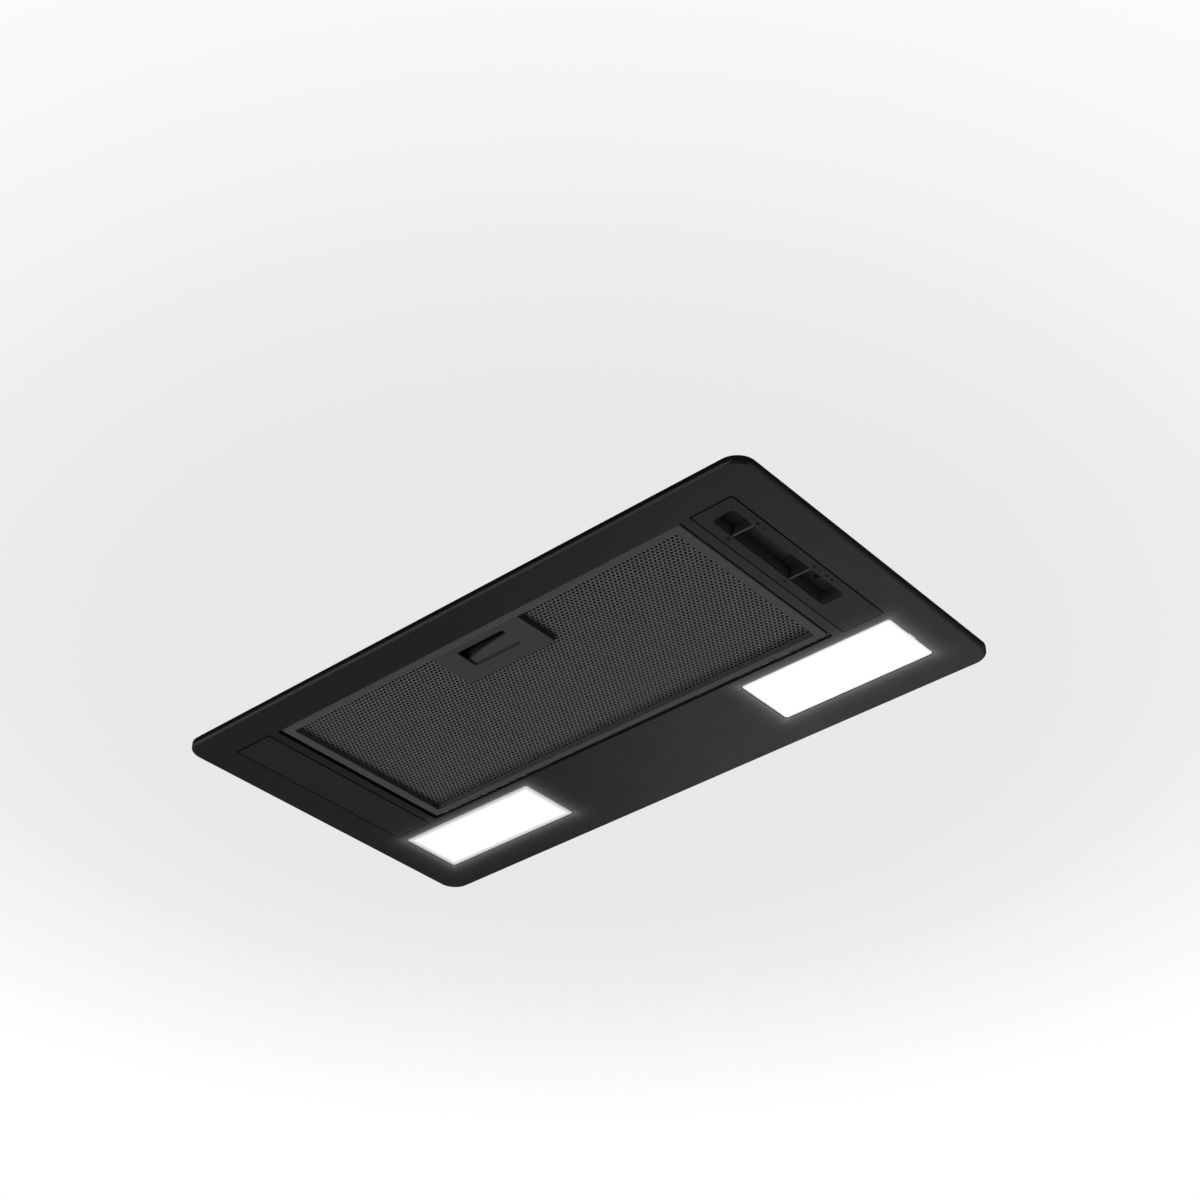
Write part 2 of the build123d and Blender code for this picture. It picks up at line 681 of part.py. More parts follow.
# Top plate: closes the housing and carries the blower, the outlet collar and the electrical parts
throat_w = 2 * casing_half
throat_d = throat_rear - throat_front
blower_screw_places = [(s * (casing_half + casing_t + casing_flange / 2), y)
                       for y in (throat_front + 20, throat_rear - 20) for s in (-1, 1)]
collar_screw = (collar_flange_r - collar_screw_in) * cos(radians(45))
collar_screw_places = [(x * collar_screw, duct_y + y * collar_screw) for x in (-1, 1) for y in (-1, 1)]
box_screw_y = box_y + box_d / 2 + box_foot
box_screw_places = [(box_x - box_w / 2 + 8, box_screw_y), (box_x + box_w / 2 - 8, box_screw_y)]
driver_screw_places = [(driver_x + s * (driver_w / 2 + box_foot), driver_y) for s in (-1, 1)]
with BuildPart() as top_plate:
    slab(housing_w, housing_d, casing_top, housing_top, housing_corner_r)
    slab(housing_in_w, housing_in_d, casing_top - plate_lip, casing_top, housing_corner_r - sheet_t)
    slab(housing_in_w - 2 * sheet_t, housing_in_d - 2 * sheet_t, casing_top - plate_lip, casing_top, 2,
         mode=Mode.SUBTRACT)
    slab(throat_w, throat_d, casing_top, housing_top, 2, at=(0, duct_y), mode=Mode.SUBTRACT)
    for x, y in blower_screw_places + collar_screw_places + box_screw_places + driver_screw_places:
        post(x, y, 2.1, casing_top, housing_top, mode=Mode.SUBTRACT)
    post(gland_x, gland_y, gland_thread_r + 0.2, casing_top, housing_top, mode=Mode.SUBTRACT)
finish(top_plate.part, "top_plate")


# Blower casing: two moulded halves that meet on the middle plane
def spiral_outline(grow):
    """Draws the spiral: three quarter arcs of growing radius, two straight throat walls and the tongue."""
    half = spiral_step / 2
    r1 = spiral_r + grow
    r2 = r1 + spiral_step
    r3 = r2 + spiral_step
    nose = tongue_r - grow
    c1 = (axis_y - half, axis_z - half)
    c2 = (axis_y + half, axis_z - half)
    c3 = (axis_y + half, axis_z + half)
    start = (c1[0], c1[1] + r1)
    left = (c1[0] - r1, c1[1])
    bottom = (c2[0], c2[1] - r2)
    right = (c3[0] + r3, c3[1])
    nose_top = (start[0] + nose, start[1] + nose)
    CenterArc(c1, r1, 90, 90)
    CenterArc(c2, r2, 180, 90)
    CenterArc(c3, r3, 270, 90)
    Polyline(right, (right[0], casing_top), (nose_top[0], casing_top), nose_top)
    CenterArc((start[0], start[1] + nose), nose, 270, 90)


def casing_side(x0, x1, grow, mode=Mode.ADD):
    """Adds or cuts the spiral block from x0 to x1."""
    with BuildSketch(Plane.YZ.offset(x0)) as outline:
        with BuildLine():
            spiral_outline(grow)
        make_face()
    extrude(outline.sketch, amount=x1 - x0, mode=mode)


casing_out = casing_half + casing_t
for side, s in sides:
    x_in = min(0, s * casing_half)
    x_out = min(0, s * casing_out)
    flange_x = sorted((0, s * (casing_out + casing_flange)))
    with BuildPart() as casing:
        casing_side(x_out, x_out + casing_out, casing_t)
        block(*flange_x, throat_front - casing_t, throat_rear + casing_t, casing_top - casing_t, casing_top)
        casing_side(x_in, x_in + casing_half, 0, Mode.SUBTRACT)
        barrel(axis_y, axis_z, bell_r, *flange_x, Mode.SUBTRACT)
        with BuildSketch(Plane(origin=(0, axis_y, axis_z), x_dir=(1, 0, 0), z_dir=(0, -1, 0))) as bell:
            with BuildLine():
                outer_x = s * casing_out
                inner_x = s * (casing_out - bell_depth)
                Line((outer_x, bell_r), (outer_x - s * casing_t, bell_r))
                RadiusArc((outer_x, bell_r), (inner_x, bell_throat_r), s * (bell_flare + 1))
                Line((inner_x, bell_throat_r), (inner_x, bell_throat_r + casing_t))
                RadiusArc((outer_x - s * casing_t, bell_r), (inner_x, bell_throat_r + casing_t), s * (bell_flare - 1))
            make_face()
        revolve(bell.sketch, axis=Axis((0, axis_y, axis_z), (1, 0, 0)))
        for x, y in blower_screw_places:
            post(x, y, 1.9, casing_top - casing_t, casing_top, mode=Mode.SUBTRACT)
    finish(casing.part, f"blower_casing_{side}")

# Blower wheel: a drum of forward-curved blades on both sides of a middle disc
with BuildSketch() as blade:
    with BuildLine():
        root = wheel_r - wheel_blade
        tip = wheel_r - 0.5
        convex = RadiusArc((root, 0), (tip, 5), 12)
        hollow = RadiusArc((root, 1), (tip - 0.3, 6), 13)
        Line(convex @ 0, hollow @ 0)
        Line(convex @ 1, hollow @ 1)
    make_face()
hub = (motor_x0 - 14, motor_x0 - 2)
with BuildPart() as blower_wheel:
    barrel(axis_y, axis_z, wheel_r, -wheel_disc_t / 2, wheel_disc_t / 2)
    barrel(axis_y, axis_z, hub_r, *hub)
    for x0, x1 in ((-wheel_half, wheel_disc_t - wheel_half), (wheel_half - wheel_disc_t, wheel_half)):
        with BuildSketch(Plane.YZ.offset(x0)) as ring:
            with Locations((axis_y, axis_z)):
                Circle(wheel_r)
                Circle(wheel_r - 4, mode=Mode.SUBTRACT)
        extrude(ring.sketch, amount=x1 - x0)
    with BuildSketch(Plane.YZ.offset(-wheel_half)) as blade_ring:
        with Locations((axis_y, axis_z)):
            with PolarLocations(0, blades):
                add(blade.sketch)
    extrude(blade_ring.sketch, amount=2 * wheel_half)
    barrel(axis_y, axis_z, shaft_r, *hub, Mode.SUBTRACT)
finish(blower_wheel.part, "blower_wheel")

# Motor: shaft, rotor, wound stator, two bearings and a two-ended case inside the wheel
front_bearing = motor_x0 + motor_t + 0.5
rear_bearing = motor_x1 - motor_t - 0.5 - bearing_w
with BuildPart() as motor_shaft:
    barrel(axis_y, axis_z, shaft_r, hub[0] - 1, motor_x1 - motor_t - 0.2)
    chamfer(motor_shaft.edges().group_by(Axis.X)[0], 0.6)
finish(motor_shaft.part, "motor_shaft")

rotor_x0 = front_bearing + bearing_w + 1.5
rotor_x1 = rear_bearing - 1.5
stator_in_r = motor_r - motor_t - stator_depth
with BuildPart() as motor_rotor:
    barrel(axis_y, axis_z, stator_in_r - rotor_gap, rotor_x0, rotor_x1)
    barrel(axis_y, axis_z, shaft_r, rotor_x0, rotor_x1, Mode.SUBTRACT)
finish(motor_rotor.part, "motor_rotor")

with BuildPart() as motor_stator:
    barrel(axis_y, axis_z, motor_r - motor_t, rotor_x0 + 2, rotor_x1 - 2)
    barrel(axis_y, axis_z, motor_r - motor_t - winding_room, rotor_x0, rotor_x1)
    barrel(axis_y, axis_z, stator_in_r, rotor_x0, rotor_x1, Mode.SUBTRACT)
finish(motor_stator.part, "motor_stator")

with BuildPart() as motor_bearings:
    for x0 in (front_bearing, rear_bearing):
        barrel(axis_y, axis_z, bearing_r, x0, x0 + bearing_w)
        barrel(axis_y, axis_z, shaft_r + run_gap, x0, x0 + bearing_w, Mode.SUBTRACT)
finish(motor_bearings.part, "motor_bearings")

with BuildPart() as motor_case:
    barrel(axis_y, axis_z, motor_r, motor_x0, motor_x1)
    fillet(motor_case.edges().group_by(Axis.X)[0], 2 * motor_t)
    barrel(axis_y, axis_z, motor_r - motor_t, motor_x0 + motor_t, motor_x1 - motor_t, Mode.SUBTRACT)
    barrel(axis_y, axis_z, bearing_r + bearing_seat, motor_x0 + motor_t, front_bearing + bearing_w)
    barrel(axis_y, axis_z, bearing_r + bearing_seat, rear_bearing, motor_x1 - motor_t)
    barrel(axis_y, axis_z, bearing_r, front_bearing, front_bearing + bearing_w, Mode.SUBTRACT)
    barrel(axis_y, axis_z, bearing_r, rear_bearing, rear_bearing + bearing_w, Mode.SUBTRACT)
    barrel(axis_y, axis_z, shaft_r + 1, motor_x0, front_bearing, Mode.SUBTRACT)
    barrel(axis_y, axis_z, shaft_r + 1, rear_bearing, motor_x1 - motor_t, Mode.SUBTRACT)
    barrel(axis_y, axis_z + lead_hole_at, lead_r + 0.3, rear_bearing, motor_x1, Mode.SUBTRACT)
finish(motor_case.part, "motor_case")

# Motor bracket: a pressed spider across the right inlet, on three rubber grommets
bracket_x = casing_out + grommet_ring
bracket_post_at = motor_r - bracket_post_in
arm_angles = (30, 150, 270)
with BuildPart() as motor_bracket:
    with BuildSketch(Plane.YZ.offset(bracket_x)) as spider:
        with Locations((axis_y, axis_z)):
            Circle(bracket_post_at + bracket_ring)
            for angle in arm_angles:
                with Locations(Location((0, 0), angle)):
                    with Locations((grommet_at / 2, 0)):
                        Rectangle(grommet_at, 2 * grommet_r + 3)
                    with Locations((grommet_at, 0)):
                        Circle(grommet_r + 3)
                        Circle(grommet_r - grommet_groove, mode=Mode.SUBTRACT)
            Circle(bracket_post_at - bracket_ring, mode=Mode.SUBTRACT)
    extrude(spider.sketch, amount=bracket_t)
    for angle in arm_angles:
        y = axis_y + bracket_post_at * cos(radians(angle))
        z = axis_z + bracket_post_at * sin(radians(angle))
        barrel(y, z, bracket_post_r, motor_x1, bracket_x)
finish(motor_bracket.part, "motor_bracket")

with BuildPart() as motor_grommets:
    for angle in arm_angles:
        y = axis_y + grommet_at * cos(radians(angle))
        z = axis_z + grommet_at * sin(radians(angle))
        barrel(y, z, grommet_r, casing_out, bracket_x)
        barrel(y, z, grommet_r - grommet_groove, bracket_x, bracket_x + bracket_t)
        barrel(y, z, grommet_r, bracket_x + bracket_t, bracket_x + bracket_t + grommet_ring)
finish(motor_grommets.part, "motor_grommets")

# Outlet collar: round spigot with a flange on the top plate and a ledge under the flaps
collar_z0 = housing_top
collar_z1 = collar_z0 + collar_flange_t + collar_h
bore_r = duct_r - duct_wall
with BuildPart() as outlet_collar:
    post(0, duct_y, collar_flange_r, collar_z0, collar_z0 + collar_flange_t)
    post(0, duct_y, duct_r, collar_z0 + collar_flange_t, collar_z1)
    post(0, duct_y, bore_r, collar_z0, collar_z1, mode=Mode.SUBTRACT)
    with BuildSketch(Plane.XY.offset(flap_z - flap_t / 2 - ledge_gap)) as ledge:
        with Locations((0, duct_y)):
            Circle(bore_r + duct_wall / 4)
            Circle(bore_r - ledge_w, mode=Mode.SUBTRACT)
            Rectangle(2 * duct_r, 3 * flap_pin_apart, mode=Mode.SUBTRACT)
    extrude(ledge.sketch, amount=-ledge_t)
    for x, y in collar_screw_places:
        post(x, y, 2.1, collar_z0, collar_z0 + collar_flange_t, mode=Mode.SUBTRACT)
    for s in (-1, 1):
        barrel(duct_y + s * flap_pin_apart / 2, flap_z, flap_pin_r, -duct_r - 1, duct_r + 1, Mode.SUBTRACT)
finish(outlet_collar.part, "outlet_collar")

# Non-return flaps: two half discs that lift with the air and fall shut by their weight
pin_end = duct_r - 0.4
knuckle_in = 8
knuckle_out = bore_r - 11
for name, s in (("front", -1), ("rear", 1)):
    pin_y = duct_y + s * flap_pin_apart / 2
    with BuildPart() as flap:
        with BuildSketch(Plane.XY.offset(flap_z - flap_t / 2)) as leaf:
            with Locations((0, duct_y)):
                Circle(bore_r - flap_gap)
                with Locations((0, -s * (duct_r - flap_pin_apart / 2))):
                    Rectangle(2 * duct_r, 2 * duct_r, mode=Mode.SUBTRACT)
        extrude(leaf.sketch, amount=flap_t)
        for x0, x1 in ((-knuckle_out, -knuckle_in), (knuckle_in, knuckle_out)):
            barrel(pin_y, flap_z, flap_barrel_r, x0, x1)
        slab(2 * knuckle_in, 2 * flap_pin_r + 0.4, flap_z - flap_t, flap_z + flap_t, at=(0, pin_y), mode=Mode.SUBTRACT)
        for x0, x1 in ((-bore_r, -knuckle_out), (knuckle_out, bore_r)):
            block(x0, x1, pin_y - 2.2, pin_y + 2.2, flap_z - flap_t, flap_z + flap_t, mode=Mode.SUBTRACT)
        barrel(pin_y, flap_z, flap_pin_r + run_gap, -bore_r, bore_r, Mode.SUBTRACT)
        stop_y = pin_y + s * 50
        block(-6, 6, stop_y - 1, stop_y + 1, flap_z + flap_t / 2, flap_z + flap_t / 2 + 2)
    finish(flap.part, f"flap_{name}")

with BuildPart() as flap_pins:
    for s in (-1, 1):
        barrel(duct_y + s * flap_pin_apart / 2, flap_z, flap_pin_r, -pin_end, pin_end)
finish(flap_pins.part, "flap_pins")


# Side catches: a sprung nose on each side that snaps over the cabinet board
def cross_bar(s, r, half, mode=Mode.ADD):
    """Adds or cuts a round bar along Y on a catch's pivot."""
    with BuildSketch(Plane(origin=(0, -half, 0), x_dir=(1, 0, 0), z_dir=(0, -1, 0))) as outline:
        with Locations((s * catch_pivot_x, catch_pivot_z)):
            Circle(r)
    extrude(outline.sketch, amount=-2 * half, mode=mode)


def catch_pieces(side, s):
    """Makes the lever with its nose, the bracket and the leaf spring of one catch."""
    def at(points):
        """Turns places given from the wall's inner face and the pin's level into X and Z."""
        return [(s * (wall_x + x), catch_pivot_z + z) for x, z in points]

    shoulder = catch_shoulder_w / 2
    ear_y = shoulder + 1
    nose = sheet_t + catch_nose
    with BuildPart() as lever:
        section_y(at([(-1.8, -23), (-0.3, -23), (-0.3, -3), (-1.8, -1)]), -shoulder, shoulder)
        section_y(at([(-1.5, -24.5), (nose - 1, -23.8), (nose, -22.5), (nose, -20), (-1.5, -3)]),
                  -catch_w / 2, catch_w / 2)
        cross_bar(s, catch_barrel_r, shoulder - 0.5)
        cross_bar(s, catch_pin_r + run_gap, shoulder, Mode.SUBTRACT)
    finish(lever.part, f"catch_lever_{side}")
    with BuildPart() as bracket:
        for y0, y1 in ((-ear_y - catch_ear_t, -ear_y), (ear_y, ear_y + catch_ear_t)):
            section_y(at([(-9, -5), (0, -5), (0, 12), (-3, 12), (-9, 6)]), y0, y1)
        section_y(at([(-1, 4), (0, 4), (0, 12), (-1, 12)]), -ear_y - 1, ear_y + 1)
        cross_bar(s, catch_pin_r, ear_y + catch_ear_t, Mode.SUBTRACT)
    finish(bracket.part, f"catch_bracket_{side}")
    with BuildPart() as leaf:
        bend = [(-1, 10), (-5, 8), (-9.5, 1), (-9, -7), (-2.3, -17)]
        back = [(x - catch_leaf_t, z) for x, z in reversed(bend)]
        section_y(at(bend + back), -6, 6)
    finish(leaf.part, f"catch_spring_{side}")


for side, s in sides:
    catch_pieces(side, s)

with BuildPart() as catch_pins:
    for side, s in sides:
        cross_bar(s, catch_pin_r, catch_shoulder_w / 2 + 3)
finish(catch_pins.part, "catch_pins")

# Terminal box under the top plate, with its lid, terminal block and run capacitor
box_z0 = casing_top - box_h
lid_screw_places = [(box_x + s * (box_w / 2 - 6), box_y - s * (box_d / 2 - 6)) for s in (-1, 1)]
with BuildPart() as terminal_box:
    slab(box_w, box_d, box_z0, casing_top, 3, at=(box_x, box_y))
    slab(box_w - 2 * box_t, box_d - 2 * box_t, box_z0, casing_top - box_t, 1, at=(box_x, box_y), mode=Mode.SUBTRACT)
    for x, y in box_screw_places:
        block(x - box_foot, x + box_foot, box_y + box_d / 2 - 1, y + box_foot, casing_top - foot_t, casing_top)
        post(x, y, 1.6, casing_top - foot_t, casing_top, mode=Mode.SUBTRACT)
    post(gland_x, gland_y, gland_thread_r + 0.2, casing_top - box_t, casing_top, mode=Mode.SUBTRACT)
    for x, y in lid_screw_places:
        post(x, y, 4.6, box_z0, casing_top - box_t)
        post(x, y, 1.4, box_z0, box_z0 + 10, mode=Mode.SUBTRACT)
finish(terminal_box.part, "terminal_box")

motor_lead_in = (box_x - box_w / 2 + 12, box_y + 10)
switch_lead_in = (box_x + box_w / 2 - 14, box_y + 10)
with BuildPart() as terminal_lid:
    slab(box_w, box_d, box_z0 - box_t, box_z0, 3, at=(box_x, box_y))
    for x, y in lid_screw_places:
        post(x, y, 1.7, box_z0 - box_t, box_z0, mode=Mode.SUBTRACT)
    for x, y in (motor_lead_in, switch_lead_in):
        post(x, y, lead_r + 0.2, box_z0 - box_t, box_z0, mode=Mode.SUBTRACT)
finish(terminal_lid.part, "terminal_lid")

box_ceiling = casing_top - box_t
block_x = box_x + 4
block_y = box_y + box_d / 2 - 18
block_h = 15
with BuildPart() as terminal_block:
    slab(48, 18, box_ceiling - block_h, box_ceiling, at=(block_x, block_y))
    for i in range(4):
        post(block_x + (i - 1.5) * 11, block_y, 2.6, box_ceiling - block_h, box_ceiling - 6, mode=Mode.SUBTRACT)
finish(terminal_block.part, "terminal_block")

capacitor_r = 13
capacitor_y = box_y - 20
capacitor_z = box_ceiling - capacitor_r
capacitor_x = (box_x - box_w / 2 + 6, box_x + 8)
with BuildPart() as run_capacitor:
    barrel(capacitor_y, capacitor_z, capacitor_r, *capacitor_x)
    fillet(run_capacitor.edges(), 1.5)
    for dy in (-4, 4):
        barrel(capacitor_y + dy, capacitor_z, 1.2, capacitor_x[1], capacitor_x[1] + 6)
finish(run_capacitor.part, "run_capacitor")

# Cable gland: hexagonal body on the top plate, domed nut above and lock nut inside the box
gland_bottom = box_ceiling - gland_tail
gland_top = housing_top + gland_hex_h + gland_dome_h
with BuildPart() as cable_gland:
    with BuildSketch(Plane.XY.offset(housing_top)) as hexagon:
        with Locations((gland_x, gland_y)):
            RegularPolygon(gland_hex / 2, 6, major_radius=False)
    extrude(hexagon.sketch, amount=gland_hex_h)
    post(gland_x, gland_y, gland_dome_r, housing_top + gland_hex_h, gland_top)
    fillet(cable_gland.edges().group_by(Axis.Z)[-1], 3)
    post(gland_x, gland_y, gland_thread_r, gland_bottom, housing_top)
    post(gland_x, gland_y, gland_bore_r, gland_bottom, gland_top, mode=Mode.SUBTRACT)
finish(cable_gland.part, "cable_gland")

with BuildPart() as gland_nut:
    with BuildSketch(Plane.XY.offset(box_ceiling)) as hexagon:
        with Locations((gland_x, gland_y)):
            RegularPolygon(gland_hex / 2, 6, major_radius=False)
            Circle(gland_thread_r + 0.1, mode=Mode.SUBTRACT)
    extrude(hexagon.sketch, amount=-gland_nut_h)
finish(gland_nut.part, "gland_nut")

# Light driver: a sealed supply on the underside of the top plate
with BuildPart() as led_driver:
    slab(driver_w, driver_d, casing_top - driver_h, casing_top, 3, at=(driver_x, driver_y))
    fillet(led_driver.faces().sort_by(Axis.Z)[0].edges(), 2)
    for s in (-1, 1):
        foot_x = sorted((driver_x + s * (driver_w / 2 + 9), driver_x + s * (driver_w / 2 - 1)))
        block(*foot_x, driver_y - 6, driver_y + 6, casing_top - foot_t, casing_top)
    for x, y in driver_screw_places:
        post(x, y, 1.6, casing_top - foot_t, casing_top, mode=Mode.SUBTRACT)
finish(led_driver.part, "led_driver")


# Internal leads, clipped along their whole routes
def lead(name, *routes):
    """Makes a lead of one or more runs, each of straight stretches joined by tangent arcs."""
    with BuildPart() as run:
        for points in routes:
            bends = []
            for a, b, c in zip(points, points[1:], points[2:]):
                first = Vector(*b) - Vector(*a)
                second = Vector(*c) - Vector(*b)
                shorter = min(first.length, second.length)
                half_turn = radians(first.get_angle(second) / 2)
                bends.append(0.45 * shorter * cos(half_turn) / sin(half_turn))
            print(name, "bend radii", [round(r, 1) for r in bends])
            with BuildLine() as path:
                FilletPolyline(*points, radius=bends)
            with BuildSketch(Plane(origin=path.line @ 0, z_dir=path.line % 0)) as wire:
                Circle(lead_r)
            sweep(wire.sketch, path=path.line)
    finish(run.part, name)


lead_in = box_z0 + 6
driver_end = casing_top - driver_h
lead("motor_lead", [(motor_x1 - 1, axis_y, axis_z + lead_hole_at), (motor_x1 + 23, axis_y, axis_z + lead_hole_at),
                    (motor_x1 + 43, axis_y + 5, axis_z + 14), (motor_x1 + 69, axis_y + 3, axis_z + 18),
                    (*motor_lead_in, box_z0 - 21), (*motor_lead_in, lead_in)])
lead("switch_lead", [(slot_x, slot_rear - 8.2, cover_z1), (slot_x, slot_rear - 8.2, 45),
                     (slot_x + 8, slot_rear - 12.2, 70), (slot_x + 8, switch_lead_in[1] + 28, 95),
                     (*switch_lead_in, box_z0 - 44), (*switch_lead_in, lead_in)])
lead("light_leads",
     [(-light_x, light_y + 12, tray_top), (-light_x, light_y + 12, 50), (-light_x - 18, light_y + 20, 78),
      (-light_x - 30, light_y - 5, 110), (-light_x - 32, light_y - 60, 145), (driver_x - 20, driver_y + 8, 160),
      (driver_x - 20, driver_y + 8, driver_end)],
     [(light_x, light_y + 12, tray_top), (light_x, light_y + 12, 45), (light_x - 25, light_y + 27, 75),
      (light_x - 75, light_y + 29, 95), (0, light_y + 29, 100), (-light_x + 75, light_y + 29, 103),
      (-light_x + 10, light_y + 5, 120), (driver_x + 22, driver_y + 60, 150), (driver_x + 15, driver_y + 8, 162),
      (driver_x + 15, driver_y + 8, driver_end)])

# Screws, grouped by what they hold
with BuildPart() as panel_screws:
    for x, y in boss_places:
        pan_screw(x, y, housing_bottom + sheet_t, 3.6, 1.9, 8)
finish(panel_screws.part, "panel_screws")

with BuildPart() as tray_screws:
    for x, y in tray_boss_places:
        pan_screw(x, y, housing_bottom + 2, 3, 1.5, 8)
    for y in cover_screw_y:
        pan_screw(slot_x, y, cover_z0 + 2, 2.4, 1.2, cover_z0 + 2 - cover_hole_end - 0.2)
finish(tray_screws.part, "light_and_switch_screws")

with BuildPart() as top_screws:
    for x, y in blower_screw_places + box_screw_places + driver_screw_places:
        pan_screw(x, y, housing_top, 3.6, 1.5, 3)
    for x, y in collar_screw_places:
        pan_screw(x, y, housing_top + collar_flange_t, 3.6, 1.9, 8)
finish(top_screws.part, "top_plate_screws")

with BuildPart() as lid_screws:
    for x, y in lid_screw_places:
        pan_screw(x, y, box_z0 - box_t, 3, 1.3, 10, up=-1)
finish(lid_screws.part, "terminal_lid_screws")
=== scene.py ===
from math import radians

import bpy
import numpy as np
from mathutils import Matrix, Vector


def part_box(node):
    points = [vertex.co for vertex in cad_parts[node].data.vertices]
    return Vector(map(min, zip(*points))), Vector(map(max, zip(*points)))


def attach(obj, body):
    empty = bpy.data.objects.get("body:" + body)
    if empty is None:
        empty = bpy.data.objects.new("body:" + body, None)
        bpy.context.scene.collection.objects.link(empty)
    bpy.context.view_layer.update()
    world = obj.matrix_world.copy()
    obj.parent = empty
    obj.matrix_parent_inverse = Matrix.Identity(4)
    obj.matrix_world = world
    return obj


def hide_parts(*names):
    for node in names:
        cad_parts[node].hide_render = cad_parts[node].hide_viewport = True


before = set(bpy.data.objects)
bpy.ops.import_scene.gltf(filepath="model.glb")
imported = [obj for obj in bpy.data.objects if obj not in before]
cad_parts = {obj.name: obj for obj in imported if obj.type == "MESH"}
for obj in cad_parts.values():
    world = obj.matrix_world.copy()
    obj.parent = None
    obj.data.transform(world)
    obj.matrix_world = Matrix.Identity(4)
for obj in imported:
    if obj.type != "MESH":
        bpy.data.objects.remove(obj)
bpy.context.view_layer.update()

mm = 0.001


# The hood hangs under a cabinet and is seen from below, from in front and to the right.
# The camera's place, heading and lens were fitted to the four edges of the hood's panel.
camera_place = (0.8904, -1.0181, -0.8905)
camera_turn = (125.937, 0.247, 40.609)
camera_lens = 65.695
camera_film = 36
view_of_hood = bpy.data.objects.new("camera", bpy.data.cameras.new("camera"))
view_of_hood.location = camera_place
view_of_hood.rotation_euler = [radians(angle) for angle in camera_turn]
view_of_hood.data.lens = camera_lens
view_of_hood.data.sensor_width = camera_film
bpy.context.scene.collection.objects.link(view_of_hood)
bpy.context.scene.camera = view_of_hood
bpy.context.scene.view_settings.view_transform = "Standard"


# The studio: a pale floor well below the hood, a white room, two broad soft lamps and a small one behind,
# and a thin pale sheet that stands for the board over the panel. The sheet shows only from below.
floor_level = -1.4
floor_rings = (0.01, 3.0, 6.0, 9.0)
floor_sides = 48
floor_grey = 0.86
floor_rough = 0.9
floor_gloss = 0.1
floor_fade = (2.5, 7.0)
sheet_reach = 4.0
sheet_lift = 0.4 * mm
sheet_grey = 0.81
sheet_fade = (0.3, 0.85)
room_light = 0.4


def add(tree, kind, sockets=None, **settings):
    """Adds a node to a tree. A socket is given a number, a colour or the output that feeds it."""
    made = tree.nodes.new("ShaderNode" + kind)
    for name, value in settings.items():
        setattr(made, name, value)
    for name, value in (sockets or {}).items():
        if isinstance(value, bpy.types.NodeSocket):
            tree.links.new(value, made.inputs[name])
        else:
            made.inputs[name].default_value = value
    return made


def reckon(tree, operation, *values):
    """The output of one step of arithmetic on numbers or outputs."""
    return add(tree, "Math", dict(enumerate(values)), operation=operation).outputs[0]


def between(tree, value, low, high, to_low=0.0, to_high=1.0, curve="LINEAR"):
    """The output of a value rescaled from one range to another and held at its ends."""
    sockets = {"Value": value, "From Min": low, "From Max": high, "To Min": to_low, "To Max": to_high}
    return add(tree, "MapRange", sockets, interpolation_type=curve).outputs[0]


def from_origin(tree):
    """How far a point on a piece lies from the origin."""
    place = add(tree, "TexCoord").outputs["Object"]
    return add(tree, "VectorMath", {0: place}, operation="LENGTH").outputs["Value"]


def new_finish(name):
    """A new material, its tree and the inputs of its shader."""
    finish = bpy.data.materials.new(name)
    finish.use_nodes = True
    return finish, finish.node_tree, finish.node_tree.nodes["Principled BSDF"].inputs


def blend_shaders(tree, amount, first, second):
    """Shows the first shader where the amount is 0 and the second where it is 1."""
    mixed = add(tree, "MixShader", {0: amount, 1: first, 2: second}).outputs[0]
    tree.links.new(mixed, tree.nodes["Material Output"].inputs["Surface"])


def surface(name, points, faces):
    """A mesh object from an array of points (n, 3) and a list of faces."""
    mesh = bpy.data.meshes.new(name)
    mesh.from_pydata(points.tolist(), [], faces)
    piece = bpy.data.objects.new(name, mesh)
    bpy.context.scene.collection.objects.link(piece)
    return piece


def ring_faces(rings, count):
    """Four-sided faces between neighbouring rings of count points each, from the first ring to the last."""
    ring, spot = np.meshgrid(np.arange(rings - 1), np.arange(count), indexing="ij")
    here = ring * count + spot
    beside = ring * count + (spot + 1) % count
    return np.stack([here, beside, beside + count, here + count], -1).reshape(-1, 4)


world = bpy.data.worlds.new("room")
world.use_nodes = True
bpy.context.scene.world = world
sky = world.node_tree
ray = add(sky, "LightPath").outputs
seen = reckon(sky, "MAXIMUM", ray["Is Camera Ray"], ray["Is Transmission Ray"])
sky.links.new(between(sky, seen, 0.0, 1.0, room_light, 1.0), sky.nodes["Background"].inputs["Strength"])
sky.nodes["Background"].inputs["Color"].default_value = (1, 1, 1, 1)

around = np.linspace(0, 2 * np.pi, floor_sides, endpoint=False)
ring_r = np.array(floor_rings)[:, None]
level = floor_level + 0 * ring_r * around
floor_spots = np.stack([ring_r * np.cos(around), ring_r * np.sin(around), level], -1).reshape(-1, 3)
floor_faces = ring_faces(len(floor_rings), floor_sides)[:, ::-1]
studio_floor = surface("studio_floor", floor_spots, floor_faces.tolist())
floor_paint, tree, shader = new_finish("floor_paint")
shader["Base Color"].default_value = (floor_grey, floor_grey, floor_grey, 1)
shader["Roughness"].default_value = floor_rough
shader["Specular IOR Level"].default_value = floor_gloss
white = add(tree, "Emission", {"Color": (1, 1, 1, 1), "Strength": 1.0}).outputs[0]
matt = tree.nodes["Principled BSDF"].outputs[0]
blend_shaders(tree, between(tree, from_origin(tree), *floor_fade, curve="SMOOTHSTEP"), matt, white)
studio_floor.data.materials.append(floor_paint)

